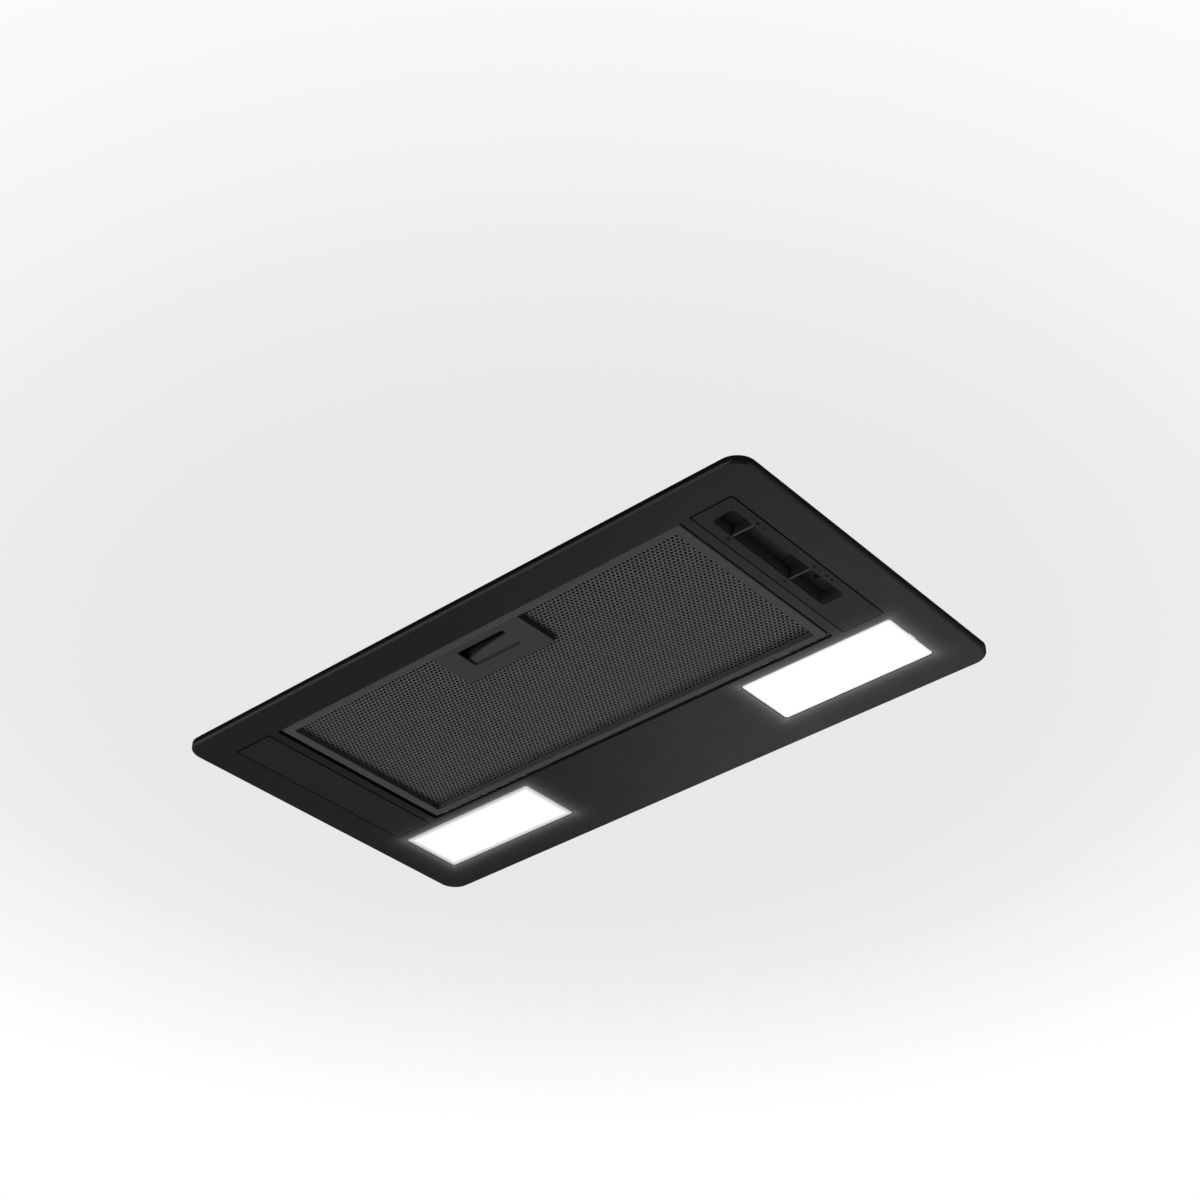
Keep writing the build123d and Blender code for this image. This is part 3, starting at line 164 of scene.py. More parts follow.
housing_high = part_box("housing_wrap")[1]
corner_x = np.array([1, 1, -1, -1])
corner_y = np.array([-1, 1, 1, -1])
level = sheet_lift + 0 * corner_x
hole = np.stack([corner_x * housing_high.x, corner_y * housing_high.y, level], -1)
reach = np.stack([corner_x * sheet_reach, corner_y * sheet_reach, level], -1)
pale_board = surface("pale_board", np.concatenate([hole, reach]), ring_faces(2, len(corner_x)).tolist())
board_paint, tree, shader = new_finish("board_paint")
tone = between(tree, from_origin(tree), *sheet_fade, sheet_grey, 1.0, "SMOOTHSTEP")
glow = add(tree, "Emission", {"Strength": tone}).outputs[0]
clear = add(tree, "BsdfTransparent").outputs[0]
camera_ray = add(tree, "LightPath").outputs["Is Camera Ray"]
front = reckon(tree, "SUBTRACT", 1.0, add(tree, "NewGeometry").outputs["Backfacing"])
blend_shaders(tree, reckon(tree, "MULTIPLY", camera_ray, front), clear, glow)
pale_board.data.materials.append(board_paint)


def soft_lamp(name, place, aim, side, power):
    """A square soft lamp at a place, turned so that it faces a point."""
    lamp = bpy.data.objects.new(name, bpy.data.lights.new(name, "AREA"))
    lamp.data.size = side
    lamp.data.energy = power
    lamp.location = place
    lamp.rotation_euler = (Vector(place) - Vector(aim)).to_track_quat("Z", "Y").to_euler()
    lamp.visible_camera = False
    bpy.context.scene.collection.objects.link(lamp)


soft_lamp("lamp_below", place=(-1.1, -1.7, -1.39), aim=(-1.1, -1.7, 0), side=2.4, power=100)
soft_lamp("lamp_behind", place=(-0.6, 1.35, -0.9), aim=(0.1, 0, 0), side=0.6, power=13)
soft_lamp("lamp_above", place=(-1.0, 1.6, 1.9), aim=(0, 0, 0.1), side=2.4, power=45)


# The face panel is one black moulding with a fine satin grain, whose rim turns up to the cabinet. The two
# long plates beside the filter are separate mouldings a shade lighter, each let in with a dark joint all
# round, and the right one has the deep control slot. Round each lit light the skin carries a painted glow.
panel_colour = (0.006, 0.006, 0.0061)
plate_colour = (0.0088, 0.0088, 0.009)
face_rough = 0.42
face_grain = 0.5 * mm
face_relief = 0.005 * mm
panel_gloss = 0.02
plate_gloss = 0.012
panel_edge_lighten = 0.1
edge_w = 0.45 * mm
edge_flat = 0.995
edge_sharp = 0.88
rough_spread = (-0.05, 0.06)
lens_flange = 2 * mm
underside = -5.2 * mm
glow_reach = 4.6 * mm
glow_level = 0.12
plate_flange = 1.8 * mm
joint_w = 0.7 * mm
joint_spread = 0.7 * mm
joint_dark_and_wall_shade = (0.0012, 0.0012, 0.0012)
rim_round = 0.5 * mm
# The rim's outer wall is darkened as painted shade, and its rounded edge is painted lighter as a painted
# highlight.
rim_wall_from = -3.7 * mm
rim_wall_fade = 0.6 * mm
rim_wall_shade = 0.9
rim_highlight_band = (-1.4 * mm, -0.9 * mm)
rim_highlight = (0.019, 0.019, 0.0192)
slot_depths = (0.4 * mm, 1.0 * mm)
# Painted light and shade in the control slot: tones for its sides, ends and floor.
slot_shading_tones = (0.034, 0.015, 0.0135)


def effect(name, asks, gives):
    """Starts a shared group: the numbers it asks for with their usual values, and the numbers it gives."""
    group = bpy.data.node_groups.new(name, "ShaderNodeTree")
    for label, value in asks.items():
        group.interface.new_socket(label, in_out="INPUT", socket_type="NodeSocketFloat").default_value = value
    for label in gives:
        group.interface.new_socket(label, in_out="OUTPUT", socket_type="NodeSocketFloat")
    return group, group.nodes.new("NodeGroupInput").outputs, group.nodes.new("NodeGroupOutput").inputs


def use(tree, group, **numbers):
    """Puts a shared effect into a material and returns what it gives."""
    node = add(tree, "Group", node_tree=group)
    for name, value in numbers.items():
        node.inputs[name].default_value = value
    return node.outputs


def point_on_piece(tree):
    """The X, Y and Z of a point on a piece."""
    return add(tree, "SeparateXYZ", {0: add(tree, "TexCoord").outputs["Object"]}).outputs


def past_twins(tree, point, low, high, flange):
    """How far a point lies past the sides and past the ends of the nearer of two like pieces, one on the left
    and one on the right. The box is the right one's, less a flange all round."""
    side = reckon(tree, "SUBTRACT", reckon(tree, "ABSOLUTE", point["X"]), (low.x + high.x) / 2)
    deep = reckon(tree, "SUBTRACT", point["Y"], (low.y + high.y) / 2)
    across = reckon(tree, "SUBTRACT", reckon(tree, "ABSOLUTE", side), (high.x - low.x) / 2 - flange)
    along = reckon(tree, "SUBTRACT", reckon(tree, "ABSOLUTE", deep), (high.y - low.y) / 2 - flange)
    return across, along


moulded_grain, asked, given = effect("moulded_grain", {"Grain": 1600.0, "Cloud": 22.0}, ["Height", "Cloud"])
place = add(moulded_grain, "TexCoord").outputs["Object"]
fine = add(moulded_grain, "TexNoise", {"Vector": place, "Scale": asked["Grain"], "Detail": 2.0})
broad = add(moulded_grain, "TexNoise", {"Vector": place, "Scale": asked["Cloud"], "Detail": 4.0})
moulded_grain.links.new(fine.outputs["Fac"], given["Height"])
moulded_grain.links.new(broad.outputs["Fac"], given["Cloud"])

# An edge is rubbed lighter where the true surface turns away from the way that a rounded one would face: wear
# on most skins, and a painted highlight on the latch lever's edges.
edge_wear_and_sheen, asked, given = effect("edge_wear_and_sheen", {"Width": edge_w}, ["Rub"])
rounded = add(edge_wear_and_sheen, "Bevel", {"Radius": asked["Width"]}, samples=4).outputs[0]
true_side = add(edge_wear_and_sheen, "NewGeometry").outputs["Normal"]
alike = add(edge_wear_and_sheen, "VectorMath", {0: rounded, 1: true_side}, operation="DOT_PRODUCT").outputs["Value"]
edge_wear_and_sheen.links.new(between(edge_wear_and_sheen, alike, edge_flat, edge_sharp), given["Rub"])

# The painted glow fades as e to the minus distance over its reach, on the underside only.
glow_asks = {"Reach": glow_reach, "Level": glow_level}
round_light, asked, given = effect("round_the_light", glow_asks, ["Inside", "Glow"])
tree = round_light
point = point_on_piece(tree)
across, along = past_twins(tree, point, *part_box("light_lens_right"), lens_flange)
inside = reckon(tree, "MULTIPLY", reckon(tree, "MAXIMUM", across, along), -1.0)
across_squared = reckon(tree, "POWER", reckon(tree, "MAXIMUM", across, 0.0), 2.0)
along_squared = reckon(tree, "POWER", reckon(tree, "MAXIMUM", along, 0.0), 2.0)
distance = reckon(tree, "SQRT", reckon(tree, "ADD", across_squared, along_squared))
reaches = reckon(tree, "DIVIDE", distance, asked["Reach"])
fade = reckon(tree, "EXPONENT", reckon(tree, "MULTIPLY", reaches, -1.0))
below = reckon(tree, "LESS_THAN", point["Z"], underside)
glow = reckon(tree, "MULTIPLY", reckon(tree, "MULTIPLY", fade, below), asked["Level"])
tree.links.new(inside, given["Inside"])
tree.links.new(glow, given["Glow"])

# The plates' joints are dark. The rim's outer wall is darkened as painted shade, and the rim's rounded edge
# is painted lighter as a painted highlight.
face_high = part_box("face_panel")[1]
plate_low, plate_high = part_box("control_plate")
joint_asks = {"Width": joint_w, "Spread": joint_spread}
face_edges, asked, given = effect("joints_and_rim", joint_asks, ["Shade", "Highlight"])
tree = face_edges
point = point_on_piece(tree)
across, along = past_twins(tree, point, plate_low, plate_high, plate_flange)
past_plate = reckon(tree, "MAXIMUM", across, along)
joint_middle = reckon(tree, "MULTIPLY", asked["Width"], 0.5)
in_joint = reckon(tree, "COMPARE", past_plate, joint_middle, asked["Spread"])
past_x = reckon(tree, "SUBTRACT", reckon(tree, "ABSOLUTE", point["X"]), face_high.x - rim_round)
past_y = reckon(tree, "SUBTRACT", reckon(tree, "ABSOLUTE", point["Y"]), face_high.y - rim_round)
past_rim = reckon(tree, "MAXIMUM", past_x, past_y)
outside = reckon(tree, "GREATER_THAN", past_rim, 0.0)
high_up = between(tree, point["Z"], rim_wall_from, rim_wall_from + rim_wall_fade)
wall = reckon(tree, "MULTIPLY", reckon(tree, "MULTIPLY", outside, high_up), rim_wall_shade)
low_down = between(tree, point["Z"], rim_wall_from, rim_wall_from - rim_wall_fade)
on_highlight = reckon(tree, "MULTIPLY", between(tree, past_rim, *rim_highlight_band), low_down)
tree.links.new(reckon(tree, "MAXIMUM", in_joint, wall), given["Shade"])
tree.links.new(on_highlight, given["Highlight"])


def tinted(tree, colour, amount, dark=0.9, light=1.12):
    """A colour that runs from a little darker to a little lighter as the amount goes from 0 to 1."""
    shades = {6: (*[c * dark for c in colour], 1), 7: (*[min(1, c * light) for c in colour], 1)}
    return add(tree, "Mix", {"Factor": amount, **shades}, data_type="RGBA").outputs[2]


def grey_light(tree, level):
    """A neutral colour of that level."""
    return add(tree, "CombineColor", {"Red": level, "Green": level, "Blue": level}).outputs[0]


def lay_over(finish, amount, colour):
    """Covers a skin's colour with another where the amount is 1, and leaves it where the amount is 0."""
    tree = finish.node_tree
    skin = tree.nodes["Principled BSDF"].inputs["Base Color"]
    cover = colour if isinstance(colour, bpy.types.NodeSocket) else (*colour, 1)
    sockets = {"Factor": amount, 6: skin.links[0].from_socket, 7: cover}
    tree.links.new(add(tree, "Mix", sockets, data_type="RGBA").outputs[2], skin)


def emboss(finish, height, relief):
    """Raises a skin by a height that runs from 0 to 1, as far as the relief."""
    tree = finish.node_tree
    bump = add(tree, "Bump", {"Height": height, "Distance": relief}).outputs[0]
    tree.links.new(bump, tree.nodes["Principled BSDF"].inputs["Normal"])


def roughen(finish, amount, low, high):
    """Makes a skin's roughness run from low to high as the amount goes from 0 to 1."""
    tree = finish.node_tree
    roughness = between(tree, amount, 0, 1, low, high)
    tree.links.new(roughness, tree.nodes["Principled BSDF"].inputs["Roughness"])


def moulded(name, colour, rough, grain=0.6 * mm, relief=0.02 * mm, gloss=0.5, edge_lighten=0.35):
    """A moulded or coated skin: fine grain in its relief, a faint cloud in its tone and gloss, and edges
    lightened towards twice its colour and a little more, as wear, and on the latch lever as a painted
    highlight."""
    finish, tree, shader = new_finish(name)
    texture = use(tree, moulded_grain, Grain=1 / grain)
    tree.links.new(tinted(tree, colour, texture["Cloud"]), shader["Base Color"])
    edge_lightening = reckon(tree, "MULTIPLY", use(tree, edge_wear_and_sheen)["Rub"], edge_lighten)
    lay_over(finish, edge_lightening, [min(1, 0.03 + 2 * c) for c in colour])
    roughen(finish, texture["Cloud"], rough + rough_spread[0], rough + rough_spread[1])
    emboss(finish, texture["Height"], relief)
    shader["Specular IOR Level"].default_value = gloss
    return finish


def paint_slot_shading(finish):
    """Paints light and shade into the control slot above the plate's face: a tone each for its sides, ends
    and floor, by the way each face turns.
    """
    tree = finish.node_tree
    depth = reckon(tree, "SUBTRACT", point_on_piece(tree)["Z"], plate_low.z)
    true_side = add(tree, "NewGeometry").outputs["Normal"]
    facing = add(tree, "VectorMath", {0: true_side}, operation="ABSOLUTE").outputs[0]
    level = add(tree, "VectorMath", {0: facing, 1: slot_shading_tones}, operation="DOT_PRODUCT").outputs["Value"]
    lay_over(finish, between(tree, depth, *slot_depths), grey_light(tree, level))


def light_up(finish):
    """Gives a skin of the face the painted glow round the lights, the painted highlight on its rim's edge,
    the painted shade on its rim's wall and its dark joints.
    """
    tree = finish.node_tree
    shader = tree.nodes["Principled BSDF"].inputs
    tree.links.new(grey_light(tree, use(tree, round_light)["Glow"]), shader["Emission Color"])
    shader["Emission Strength"].default_value = 1.0
    edges = use(tree, face_edges)
    lay_over(finish, edges["Highlight"], rim_highlight)
    lay_over(finish, edges["Shade"], joint_dark_and_wall_shade)


def paint(finish, *names):
    """Gives these pieces of the frame one material."""
    for name in names:
        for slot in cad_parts[name].material_slots:
            slot.material = finish


panel_black = moulded("panel_black", panel_colour, face_rough, face_grain, face_relief, panel_gloss,
                      panel_edge_lighten)
light_up(panel_black)
paint(panel_black, "face_panel")
plate_black = moulded("plate_black", plate_colour, face_rough, face_grain, face_relief, plate_gloss,
                      edge_lighten=0.0)
paint_slot_shading(plate_black)
light_up(plate_black)
paint(plate_black, "control_plate", "blank_plate")


# Beside the control slot the settings are pad-printed in plain numbers, two for the light and four for
# the fan, with a ring for the light and three blades for the fan on the slot's other side.
print_proud = 0.02 * mm
print_t = 0.06 * mm
print_colour = (0.0004, 0.0004, 0.0004)
mark_x = 233.0 * mm
mark_size = 3.6 * mm
mark_bold = 0.2 * mm
light_marks = {"0": -86.0 * mm, "1": -78.5 * mm}
fan_marks = {"0": -23.3 * mm, "1": -16.6 * mm, "2": -9.4 * mm, "3": -3.1 * mm}
sign_x = 207.9 * mm
sign_r = 1.5 * mm
sign_points = 48
light_sign_y = -85.7 * mm
light_ring_r = 0.5 * sign_r
fan_sign_y = -23.4 * mm
fan_blades = 3
fan_blade_r = 0.6 * sign_r
fan_blade_swing = 0.4 * sign_r
fan_hub_r = 0.1 * sign_r
print_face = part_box("control_plate")[0].z - print_proud
print_ink = moulded("print_ink", print_colour, rough=0.6, grain=0.3 * mm, relief=0.004 * mm, gloss=0.0,
                    edge_lighten=0.0)


def printed(name, x, y, points, faces):
    """Lays a flat mark on the plate, turned face down about X so that its drawn up points to the front."""
    level = np.where(points[:, 2] > 0, print_face, print_face + print_t)
    mark = surface(name, np.stack([points[:, 0] + x, y - points[:, 1], level], -1), faces)
    mark.data.materials.append(print_ink)
    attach(mark, "hood")


def flat_ring(outer, inner):
    """A thin closed ring about its middle, between an outer and an inner radius that may follow the turn.
    It has four rings of points: inner and outer below, outer and inner above."""
    turn = np.linspace(0, 2 * np.pi, sign_points, endpoint=False)
    r = np.stack([inner(turn), outer(turn), outer(turn), inner(turn)])
    level = np.array([-1, -1, 1, 1])[:, None] + 0 * turn
    points = np.stack([r * np.cos(turn), r * np.sin(turn), level], -1).reshape(-1, 3)
    here = np.arange(sign_points)
    beside = (here + 1) % sign_points
    top = 3 * sign_points
    closing = np.stack([top + here, top + beside, beside, here], -1)
    return points, np.concatenate([ring_faces(4, sign_points), closing]).tolist()


def numeral(text):
    """The points and faces of one numeral of the plain built-in type, as a thin solid about its middle."""
    letter = bpy.data.objects.new(text, bpy.data.curves.new(text, "FONT"))
    letter.data.body = text
    letter.data.size = mark_size
    letter.data.extrude = print_t
    letter.data.offset = mark_bold
    bpy.context.scene.collection.objects.link(letter)
    bpy.context.view_layer.update()
    solid = bpy.data.meshes.new_from_object(letter)
    bpy.data.objects.remove(letter)
    points = np.empty(len(solid.vertices) * 3)
    solid.vertices.foreach_get("co", points)
    points = points.reshape(-1, 3)
    points[:, :2] -= (points[:, :2].max(0) + points[:, :2].min(0)) / 2
    return points, [list(face.vertices) for face in solid.polygons]


def steady(r):
    """A radius that stays the same all the way round."""
    return lambda turn: r + 0 * turn


def bladed(turn):
    """A radius that swells once for each blade: the mean radius plus the swing times the turn's cosine."""
    return fan_blade_r + fan_blade_swing * np.cos(fan_blades * turn)


for kind, marks in (("light", light_marks), ("fan", fan_marks)):
    for text, y in marks.items():
        printed(f"{kind}_mark_{text}", mark_x, y, *numeral(text))
printed("light_sign", sign_x, light_sign_y, *flat_ring(steady(sign_r), steady(light_ring_r)))
printed("fan_sign", sign_x, fan_sign_y, *flat_ring(bladed, steady(fan_hub_r)))


# The lights are opal lenses clipped into white trays and lit evenly by light-emitting diodes on a board.
# A lens is brightest over its middle and a little dimmer just inside its edge, where its colour is also
# darkened as painted shade.
lens_rim = 5.0 * mm
lens_glow = (0.05, 0.6)
lens_tone = (0.17, 0.6)
lens_mottle = (0.97, 1.03)
lens_rough = (0.3, 0.4)
lens_relief = 0.01 * mm
opal, tree, shader = new_finish("opal")
inside = use(tree, round_light)["Inside"]
texture = use(tree, moulded_grain, Grain=900.0, Cloud=60.0)
level = between(tree, inside, 0.0, lens_rim, *lens_glow)
mottled = reckon(tree, "MULTIPLY", level, between(tree, texture["Cloud"], 0, 1, *lens_mottle))
tree.links.new(grey_light(tree, mottled), shader["Emission Color"])
shader["Emission Strength"].default_value = 1.0
milk_and_edge_shade = between(tree, inside, lens_rim, 2 * lens_rim, *lens_tone)
tree.links.new(grey_light(tree, milk_and_edge_shade), shader["Base Color"])
roughen(opal, texture["Cloud"], *lens_rough)
emboss(opal, texture["Height"], lens_relief)
paint(opal, "light_lens_left", "light_lens_right")
tray_white = moulded("tray_white", (0.72, 0.73, 0.72), rough=0.5, grain=0.8 * mm, edge_lighten=0.0)
paint(tray_white, "light_tray_left", "light_tray_right")


# The two sliding controls are dark grey mouldings in a deep black slot, coloured near black as painted shade,
# with the tip of each crest painted lighter as a painted highlight. Each works a small slide switch, soldered
# to a board under a clipped cover.
crest_tall = 0.9 * mm
crest_full = 0.4 * crest_tall
crest_highlight = (0.032, 0.032, 0.033)
knob_dark = moulded("knob_dark", (0.011, 0.011, 0.0112), rough=0.5, grain=0.4 * mm, relief=0.006 * mm,
                    gloss=0.0, edge_lighten=0.0)
knob_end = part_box("fan_knob")[0].z
tree = knob_dark.node_tree
crest_highlight_mask = between(tree, point_on_piece(tree)["Z"], knob_end + crest_full, knob_end + crest_tall, 1.0, 0.0)
lay_over(knob_dark, crest_highlight_mask, crest_highlight)
paint(knob_dark, "light_knob", "fan_knob")
switch_black = moulded("switch_black", (0.02, 0.02, 0.02), rough=0.5, grain=0.5 * mm, relief=0.01 * mm)
paint(switch_black, "light_switch", "fan_switch")
cover_black = moulded("cover_black", (0.03, 0.03, 0.032), rough=0.55, grain=0.8 * mm)
paint(cover_black, "switch_cover")


# Every printed circuit board is of glass fibre under a green lacquer. Its copper tracks are etched, and
# stand a little proud under the lacquer.
track_pitch = 2.5 * mm
track_relief = 0.03 * mm
board_rough = (0.25, 0.4)
lacquer_green = (0.02, 0.16, 0.06)
copper_green = (0.06, 0.3, 0.12)
board_green, tree, shader = new_finish("board_green")
place = add(tree, "TexCoord").outputs["Object"]
lane = {"Vector": place, "Scale": 1 / (4 * track_pitch), "Mortar Size": 0.09, "Brick Width": 1.6,
        "Row Height": 0.3}
tracks = add(tree, "TexBrick", lane).outputs["Fac"]
texture = use(tree, moulded_grain, Grain=1500.0, Cloud=60.0)
tree.links.new(tinted(tree, lacquer_green, texture["Cloud"]), shader["Base Color"])
lay_over(board_green, tracks, copper_green)
roughen(board_green, texture["Cloud"], *board_rough)
emboss(board_green, tracks, track_relief)
paint(board_green, "led_board_left", "led_board_right", "control_board")


# The grease filter is a folded aluminium frame with a black coating that holds a stack of perforated
# sheets. Its lower sheet has round holes in staggered rows, pressed so that the metal between is crowned.
hole_pitch = 3.55 * mm
hole_r = 1.12 * mm
sheet_margin = 0.6 * hole_pitch
crown = 0.28 * mm
cell_points = 12
weld_gap = 1e-7
handle_room = 0.2 * mm
mesh_strips = 3
mesh_coat = (0.0095, 0.0095, 0.0098)
mesh_ridge_highlight = (0.053, 0.053, 0.055)
mesh_rough = (0.38, 0.52)
mesh_relief = 0.01 * mm
mesh_gloss = 0.1
filter_black = moulded("filter_black", (0.03, 0.03, 0.0305), rough=0.45, grain=0.4 * mm, relief=0.008 * mm,
                       gloss=0.01, edge_lighten=0.0)
paint(filter_black, "filter_frame")


def hole_centres(low, high):
    """Staggered rows: each is half a pitch further along, and rows lie the height of the pitch's triangle
    apart."""
    row_pitch = hole_pitch * np.sqrt(3) / 2
    reach_x = (high.x - low.x) / 2 - sheet_margin
    rows = int((high.y - low.y - 2 * sheet_margin) / row_pitch) + 1
    columns = int(reach_x / hole_pitch) + 1
    column, row = np.meshgrid(np.arange(-columns, columns + 1), np.arange(rows))
    x = (column + row % 2 / 2) * hole_pitch
    y = (low.y + high.y) / 2 + (row - (rows - 1) / 2) * row_pitch
    keep = np.abs(x) < reach_x
    return x[keep], y[keep]


def perforated(name, x, y, low, high):
    """A sheet with a hole at each centre. A cell has four rings of points: its six-sided edge below, the
    hole's lip, the hole's top and its edge above. Neighbours share edges, and a wall closes those left
    over."""
    step = np.arange(cell_points)
    turn = step * 2 * np.pi / cell_points
    edge = hole_pitch / 2 / np.cos((turn + np.pi / 6) % (np.pi / 3) - np.pi / 6)
    r = np.stack([edge, hole_r + 0 * turn, hole_r + 0 * turn, edge])
    level = np.array([low, low + crown, high, high])[:, None] + 0 * turn
    cell = np.stack([r * np.cos(turn), r * np.sin(turn), level], -1).reshape(-1, 3)
    centres = np.stack([x, y, 0 * x], -1)
    every = (centres[:, None] + cell).reshape(-1, 3)
    rounded = (every / weld_gap).round().astype(np.int64)
    first, place = np.unique(rounded, axis=0, return_index=True, return_inverse=True)[1:]
    place = place.reshape(-1, 4 * cell_points)
    faces = place[:, ring_faces(4, cell_points)[:, ::-1]].reshape(-1, 4)
    top = 3 * cell_points
    beside = (step + 1) % cell_points
    wall = place[:, np.stack([top + step, step, beside, top + beside], -1)].reshape(-1, 4)
    pair = np.sort(wall[:, 1:3], axis=1)
    shared, times = np.unique(pair, axis=0, return_inverse=True, return_counts=True)[1:]
    alone = times[shared.reshape(-1)] == 1
    sheet = surface(name, every[first], np.concatenate([faces, wall[alone]]).tolist())
    crowned = np.zeros(len(faces) + alone.sum(), bool)
    crowned[:len(faces)] = np.arange(len(faces)) % top < cell_points
    sheet.data.polygons.foreach_set("use_smooth", crowned)
    return sheet


mesh_low, mesh_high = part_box("filter_mesh_lower")
mesh_black, tree, shader = new_finish("mesh_black")
texture = use(tree, moulded_grain, Grain=2600.0, Cloud=30.0)
tree.links.new(tinted(tree, mesh_coat, texture["Cloud"]), shader["Base Color"])
# The crowned lower faces are painted lighter than the hole walls, as a painted highlight on the strands.
ridge_highlight = between(tree, point_on_piece(tree)["Z"], mesh_low.z, mesh_low.z + crown, 1.0, 0.0)
lay_over(mesh_black, ridge_highlight, mesh_ridge_highlight)
roughen(mesh_black, texture["Cloud"], *mesh_rough)
emboss(mesh_black, texture["Height"], mesh_relief)
shader["Specular IOR Level"].default_value = mesh_gloss
handle_low, handle_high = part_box("handle_case")
centre_x, centre_y = hole_centres(mesh_low, mesh_high)
under_handle = (np.abs(centre_x) < handle_high.x + handle_room) & (centre_y < handle_high.y + handle_room)
centre_x = centre_x[~under_handle]
centre_y = centre_y[~under_handle]
share = (centre_x - mesh_low.x) / (mesh_high.x - mesh_low.x)
strip = np.clip((share * mesh_strips).astype(int), 0, mesh_strips - 1)
for number in range(mesh_strips):
    here = strip == number
    sheet = perforated(f"fine_mesh_{number + 1}", centre_x[here], centre_y[here], mesh_low.z, mesh_high.z)
    sheet.data.materials.append(mesh_black)
    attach(sheet, "filter")
    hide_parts("filter_mesh_lower")
paint(mesh_black, "filter_mesh_upper")
# The core is coloured near black as painted shade, so that the holes look dark.
core_dark = moulded("core_dark", (0.006, 0.006, 0.0062), rough=0.5, grain=1.5 * mm, relief=0.1 * mm,
                    gloss=0.1, edge_lighten=0.0)
paint(core_dark, "filter_core")


# The handle is a black moulding let into the filter, with a dark seam along its front edge and a sprung
# latch lever behind its finger recess. The lever is scooped, its scoop is darkened as painted shade where
# it runs in deep under the handle's face, and its edges are painted lighter as a painted highlight.
seam_w = 0.6 * mm
seam_shade = 0.6
seam_dark = (0.002, 0.002, 0.002)
hollow_left = -2.2 * mm
hollow_right = 1.8 * mm
hollow_fade = 0.8 * mm
hollow_shade = (0.001, 0.001, 0.001)
handle_black = moulded("handle_black", (0.021, 0.021, 0.0215), rough=0.5, grain=0.5 * mm, relief=0.006 * mm,
                       gloss=0.02, edge_lighten=0.1)
tree = handle_black.node_tree
in_seam = reckon(tree, "LESS_THAN", point_on_piece(tree)["Y"], handle_low.y + seam_w)
lay_over(handle_black, reckon(tree, "MULTIPLY", in_seam, seam_shade), seam_dark)
paint(handle_black, "handle_case", "handle_cover")
lever_low, lever_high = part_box("latch_lever")
lever_black = moulded("lever_black", (0.023, 0.023, 0.0235), rough=0.5, grain=0.5 * mm, relief=0.006 * mm,
                      gloss=0.03, edge_lighten=0.7)
tree = lever_black.node_tree
point = point_on_piece(tree)
brink = between(tree, point["X"], lever_low.x, lever_high.x, hollow_left, hollow_right)
past_brink = reckon(tree, "SUBTRACT", point["Z"], brink)
lay_over(lever_black, between(tree, past_brink, -hollow_fade, hollow_fade, curve="SMOOTHSTEP"), hollow_shade)
paint(lever_black, "latch_lever")


# The housing is folded from galvanised sheet: its zinc grew in flakes, and handling dulled it in places.
# The motor's bracket and the catches' brackets are bent from the same sheet.
flake_size = 7 * mm
flake_bend = 6 * mm
zinc_spread = (0.07, -0.05)
zinc_relief = 0.01 * mm
zinc_bright = 0.3


def galvanised(name, colour, rough):
    """Zinc-coated sheet: each flake has its own tone and gloss, with fine rolling marks over all."""
    finish, tree, shader = new_finish(name)
    place = add(tree, "TexCoord").outputs["Object"]
    warp = add(tree, "TexNoise", {"Vector": place, "Scale": 60.0, "Detail": 3.0}).outputs["Color"]
    sockets = {0: warp, 1: (flake_bend, flake_bend, flake_bend), 2: place}
    bent = add(tree, "VectorMath", sockets, operation="MULTIPLY_ADD").outputs[0]
    flake = add(tree, "TexVoronoi", {"Vector": bent, "Scale": 1 / flake_size}).outputs["Color"]
    own = add(tree, "SeparateColor", {0: flake}).outputs[0]
    texture = use(tree, moulded_grain, Grain=1200.0, Cloud=9.0)
    tone = reckon(tree, "MULTIPLY_ADD", texture["Cloud"], 0.5, reckon(tree, "MULTIPLY", own, 0.5))
    tree.links.new(tinted(tree, colour, tone, dark=0.9, light=1.08), shader["Base Color"])
    duller = between(tree, tone, 0.1, 0.9, rough + zinc_spread[0], rough + zinc_spread[1])
    tree.links.new(duller, shader["Roughness"])
    emboss(finish, texture["Height"], zinc_relief)
    shader["Metallic"].default_value = zinc_bright
    return finish


zinc = galvanised("zinc", (0.36, 0.365, 0.37), rough=0.58)
paint(zinc, "housing_wrap", "top_plate", "motor_bracket", "catch_bracket_left", "catch_bracket_right")


# Shaft, bearings, pins, springs and screws are of turned, drawn or rolled steel, left bright. The fine
# lines run the way that each was worked.
steel_spread = (-0.08, 0.12)
steel_relief = 0.01 * mm


def drawn_steel(name, colour, rough, stretch):
    """Bright steel with fine lines along the way it was drawn or turned: noise stretched by three factors."""
    finish, tree, shader = new_finish(name)
    place = add(tree, "TexCoord").outputs["Object"]
    run = add(tree, "VectorMath", {0: place, 1: stretch}, operation="MULTIPLY").outputs[0]
    lines = add(tree, "TexNoise", {"Vector": run, "Scale": 1.0, "Detail": 3.0}).outputs["Fac"]
    tree.links.new(tinted(tree, colour, lines, dark=0.8, light=1.15), shader["Base Color"])
    roughen(finish, lines, rough + steel_spread[0], rough + steel_spread[1])
    emboss(finish, lines, steel_relief)
    shader["Metallic"].default_value = 1.0
    return finish


bright_steel = drawn_steel("bright_steel", (0.6, 0.6, 0.61), rough=0.28, stretch=(3000.0, 300.0, 300.0))
paint(bright_steel, "motor_shaft", "motor_bearings", "flap_pins", "catch_pins")
screw_steel = drawn_steel("screw_steel", (0.58, 0.58, 0.56), rough=0.32, stretch=(900.0, 900.0, 2500.0))
paint(screw_steel, "panel_screws", "light_and_switch_screws", "top_plate_screws", "terminal_lid_screws")
spring_steel = drawn_steel("spring_steel", (0.45, 0.45, 0.46), rough=0.3, stretch=(1500.0, 1500.0, 200.0))
paint(spring_steel, "latch_spring", "catch_spring_left", "catch_spring_right")


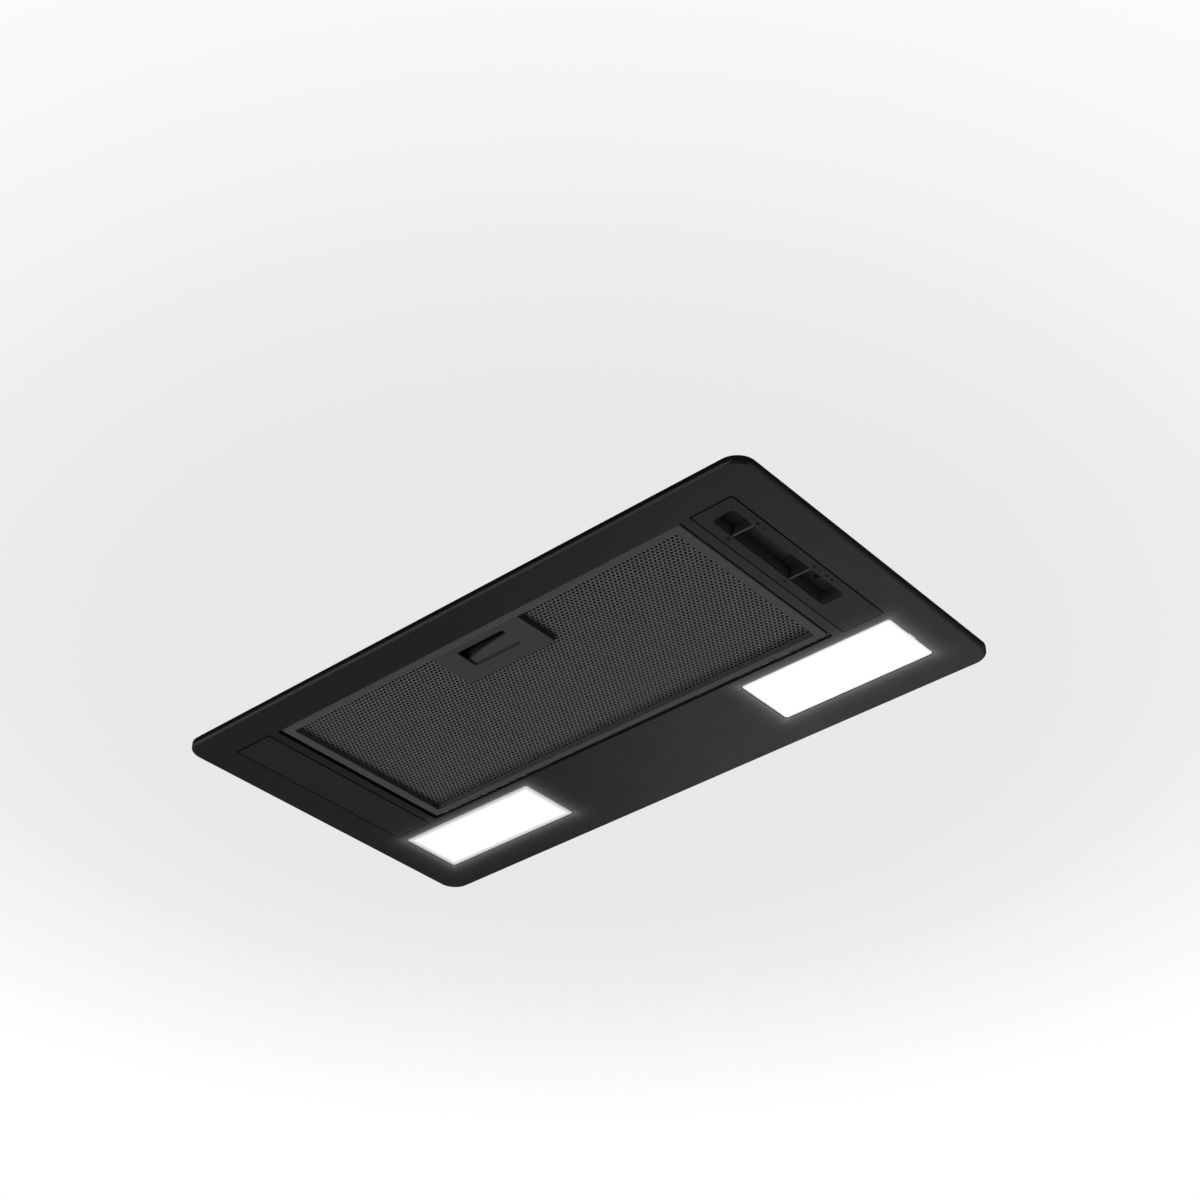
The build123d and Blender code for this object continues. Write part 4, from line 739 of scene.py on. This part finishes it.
# The blower: two moulded casing halves round a drum wheel, driven by a small motor in a cast case that
# hangs in rubber on a steel bracket. The motor's core is a stack of thin steel plates. The terminal box
# and its lid are moulded of the same grey as the casing.
lamination_t = 0.5 * mm
lamination_grey = (0.3, 0.3, 0.31)
lamination_rough = (0.55, 0.35)
lamination_relief = 0.1 * mm
casing_grey = moulded("casing_grey", (0.10, 0.105, 0.11), rough=0.5, grain=0.9 * mm, relief=0.03 * mm)
paint(casing_grey, "blower_casing_left", "blower_casing_right", "terminal_box", "terminal_lid")
wheel_grey = moulded("wheel_grey", (0.15, 0.155, 0.16), rough=0.45, grain=0.7 * mm)
paint(wheel_grey, "blower_wheel")
cast_case = moulded("cast_case", (0.46, 0.47, 0.48), rough=0.45, grain=1.2 * mm, relief=0.06 * mm)
cast_case.node_tree.nodes["Principled BSDF"].inputs["Metallic"].default_value = 1.0
paint(cast_case, "motor_case")
rubber = moulded("rubber", (0.018, 0.018, 0.018), rough=0.75, relief=0.03 * mm, gloss=0.3, edge_lighten=0.0)
paint(rubber, "motor_grommets")
lamination, tree, shader = new_finish("lamination")
into_plate = reckon(tree, "PINGPONG", point_on_piece(tree)["X"], lamination_t)
sheetwise = between(tree, into_plate, 0, lamination_t)
tree.links.new(tinted(tree, lamination_grey, sheetwise, dark=0.5, light=1.2), shader["Base Color"])
roughen(lamination, sheetwise, *lamination_rough)
emboss(lamination, sheetwise, lamination_relief)
shader["Metallic"].default_value = 1.0
paint(lamination, "motor_stator", "motor_rotor")


# The outlet collar and its two flaps are black mouldings. The cable gland and its lock nut, of the same
# black, hold the top plate and the terminal box's ceiling between them.
collar_black = moulded("collar_black", (0.022, 0.022, 0.023), rough=0.5, grain=0.8 * mm)
paint(collar_black, "outlet_collar", "flap_front", "flap_rear", "cable_gland", "gland_nut")


# The side catches, the lamps' driver and the terminal block are white mouldings, and the capacitor is a
# can in a glossier white.
catch_white = moulded("catch_white", (0.68, 0.68, 0.66), rough=0.42, grain=0.7 * mm, relief=0.015 * mm,
                      edge_lighten=0.1)
paint(catch_white, "catch_lever_left", "catch_lever_right", "terminal_block", "led_driver")
can_white = moulded("can_white", (0.75, 0.76, 0.77), rough=0.3, grain=1.0 * mm, relief=0.01 * mm, edge_lighten=0.0)
paint(can_white, "run_capacitor")


# The inner leads join the motor and the switches to the terminal box, and the lights to their driver. Each
# is sheathed in smooth grey plastic.
sheath_grey = moulded("sheath_grey", (0.24, 0.245, 0.25), rough=0.45, grain=1.2 * mm, edge_lighten=0.0)
paint(sheath_grey, "motor_lead", "switch_lead", "light_leads")
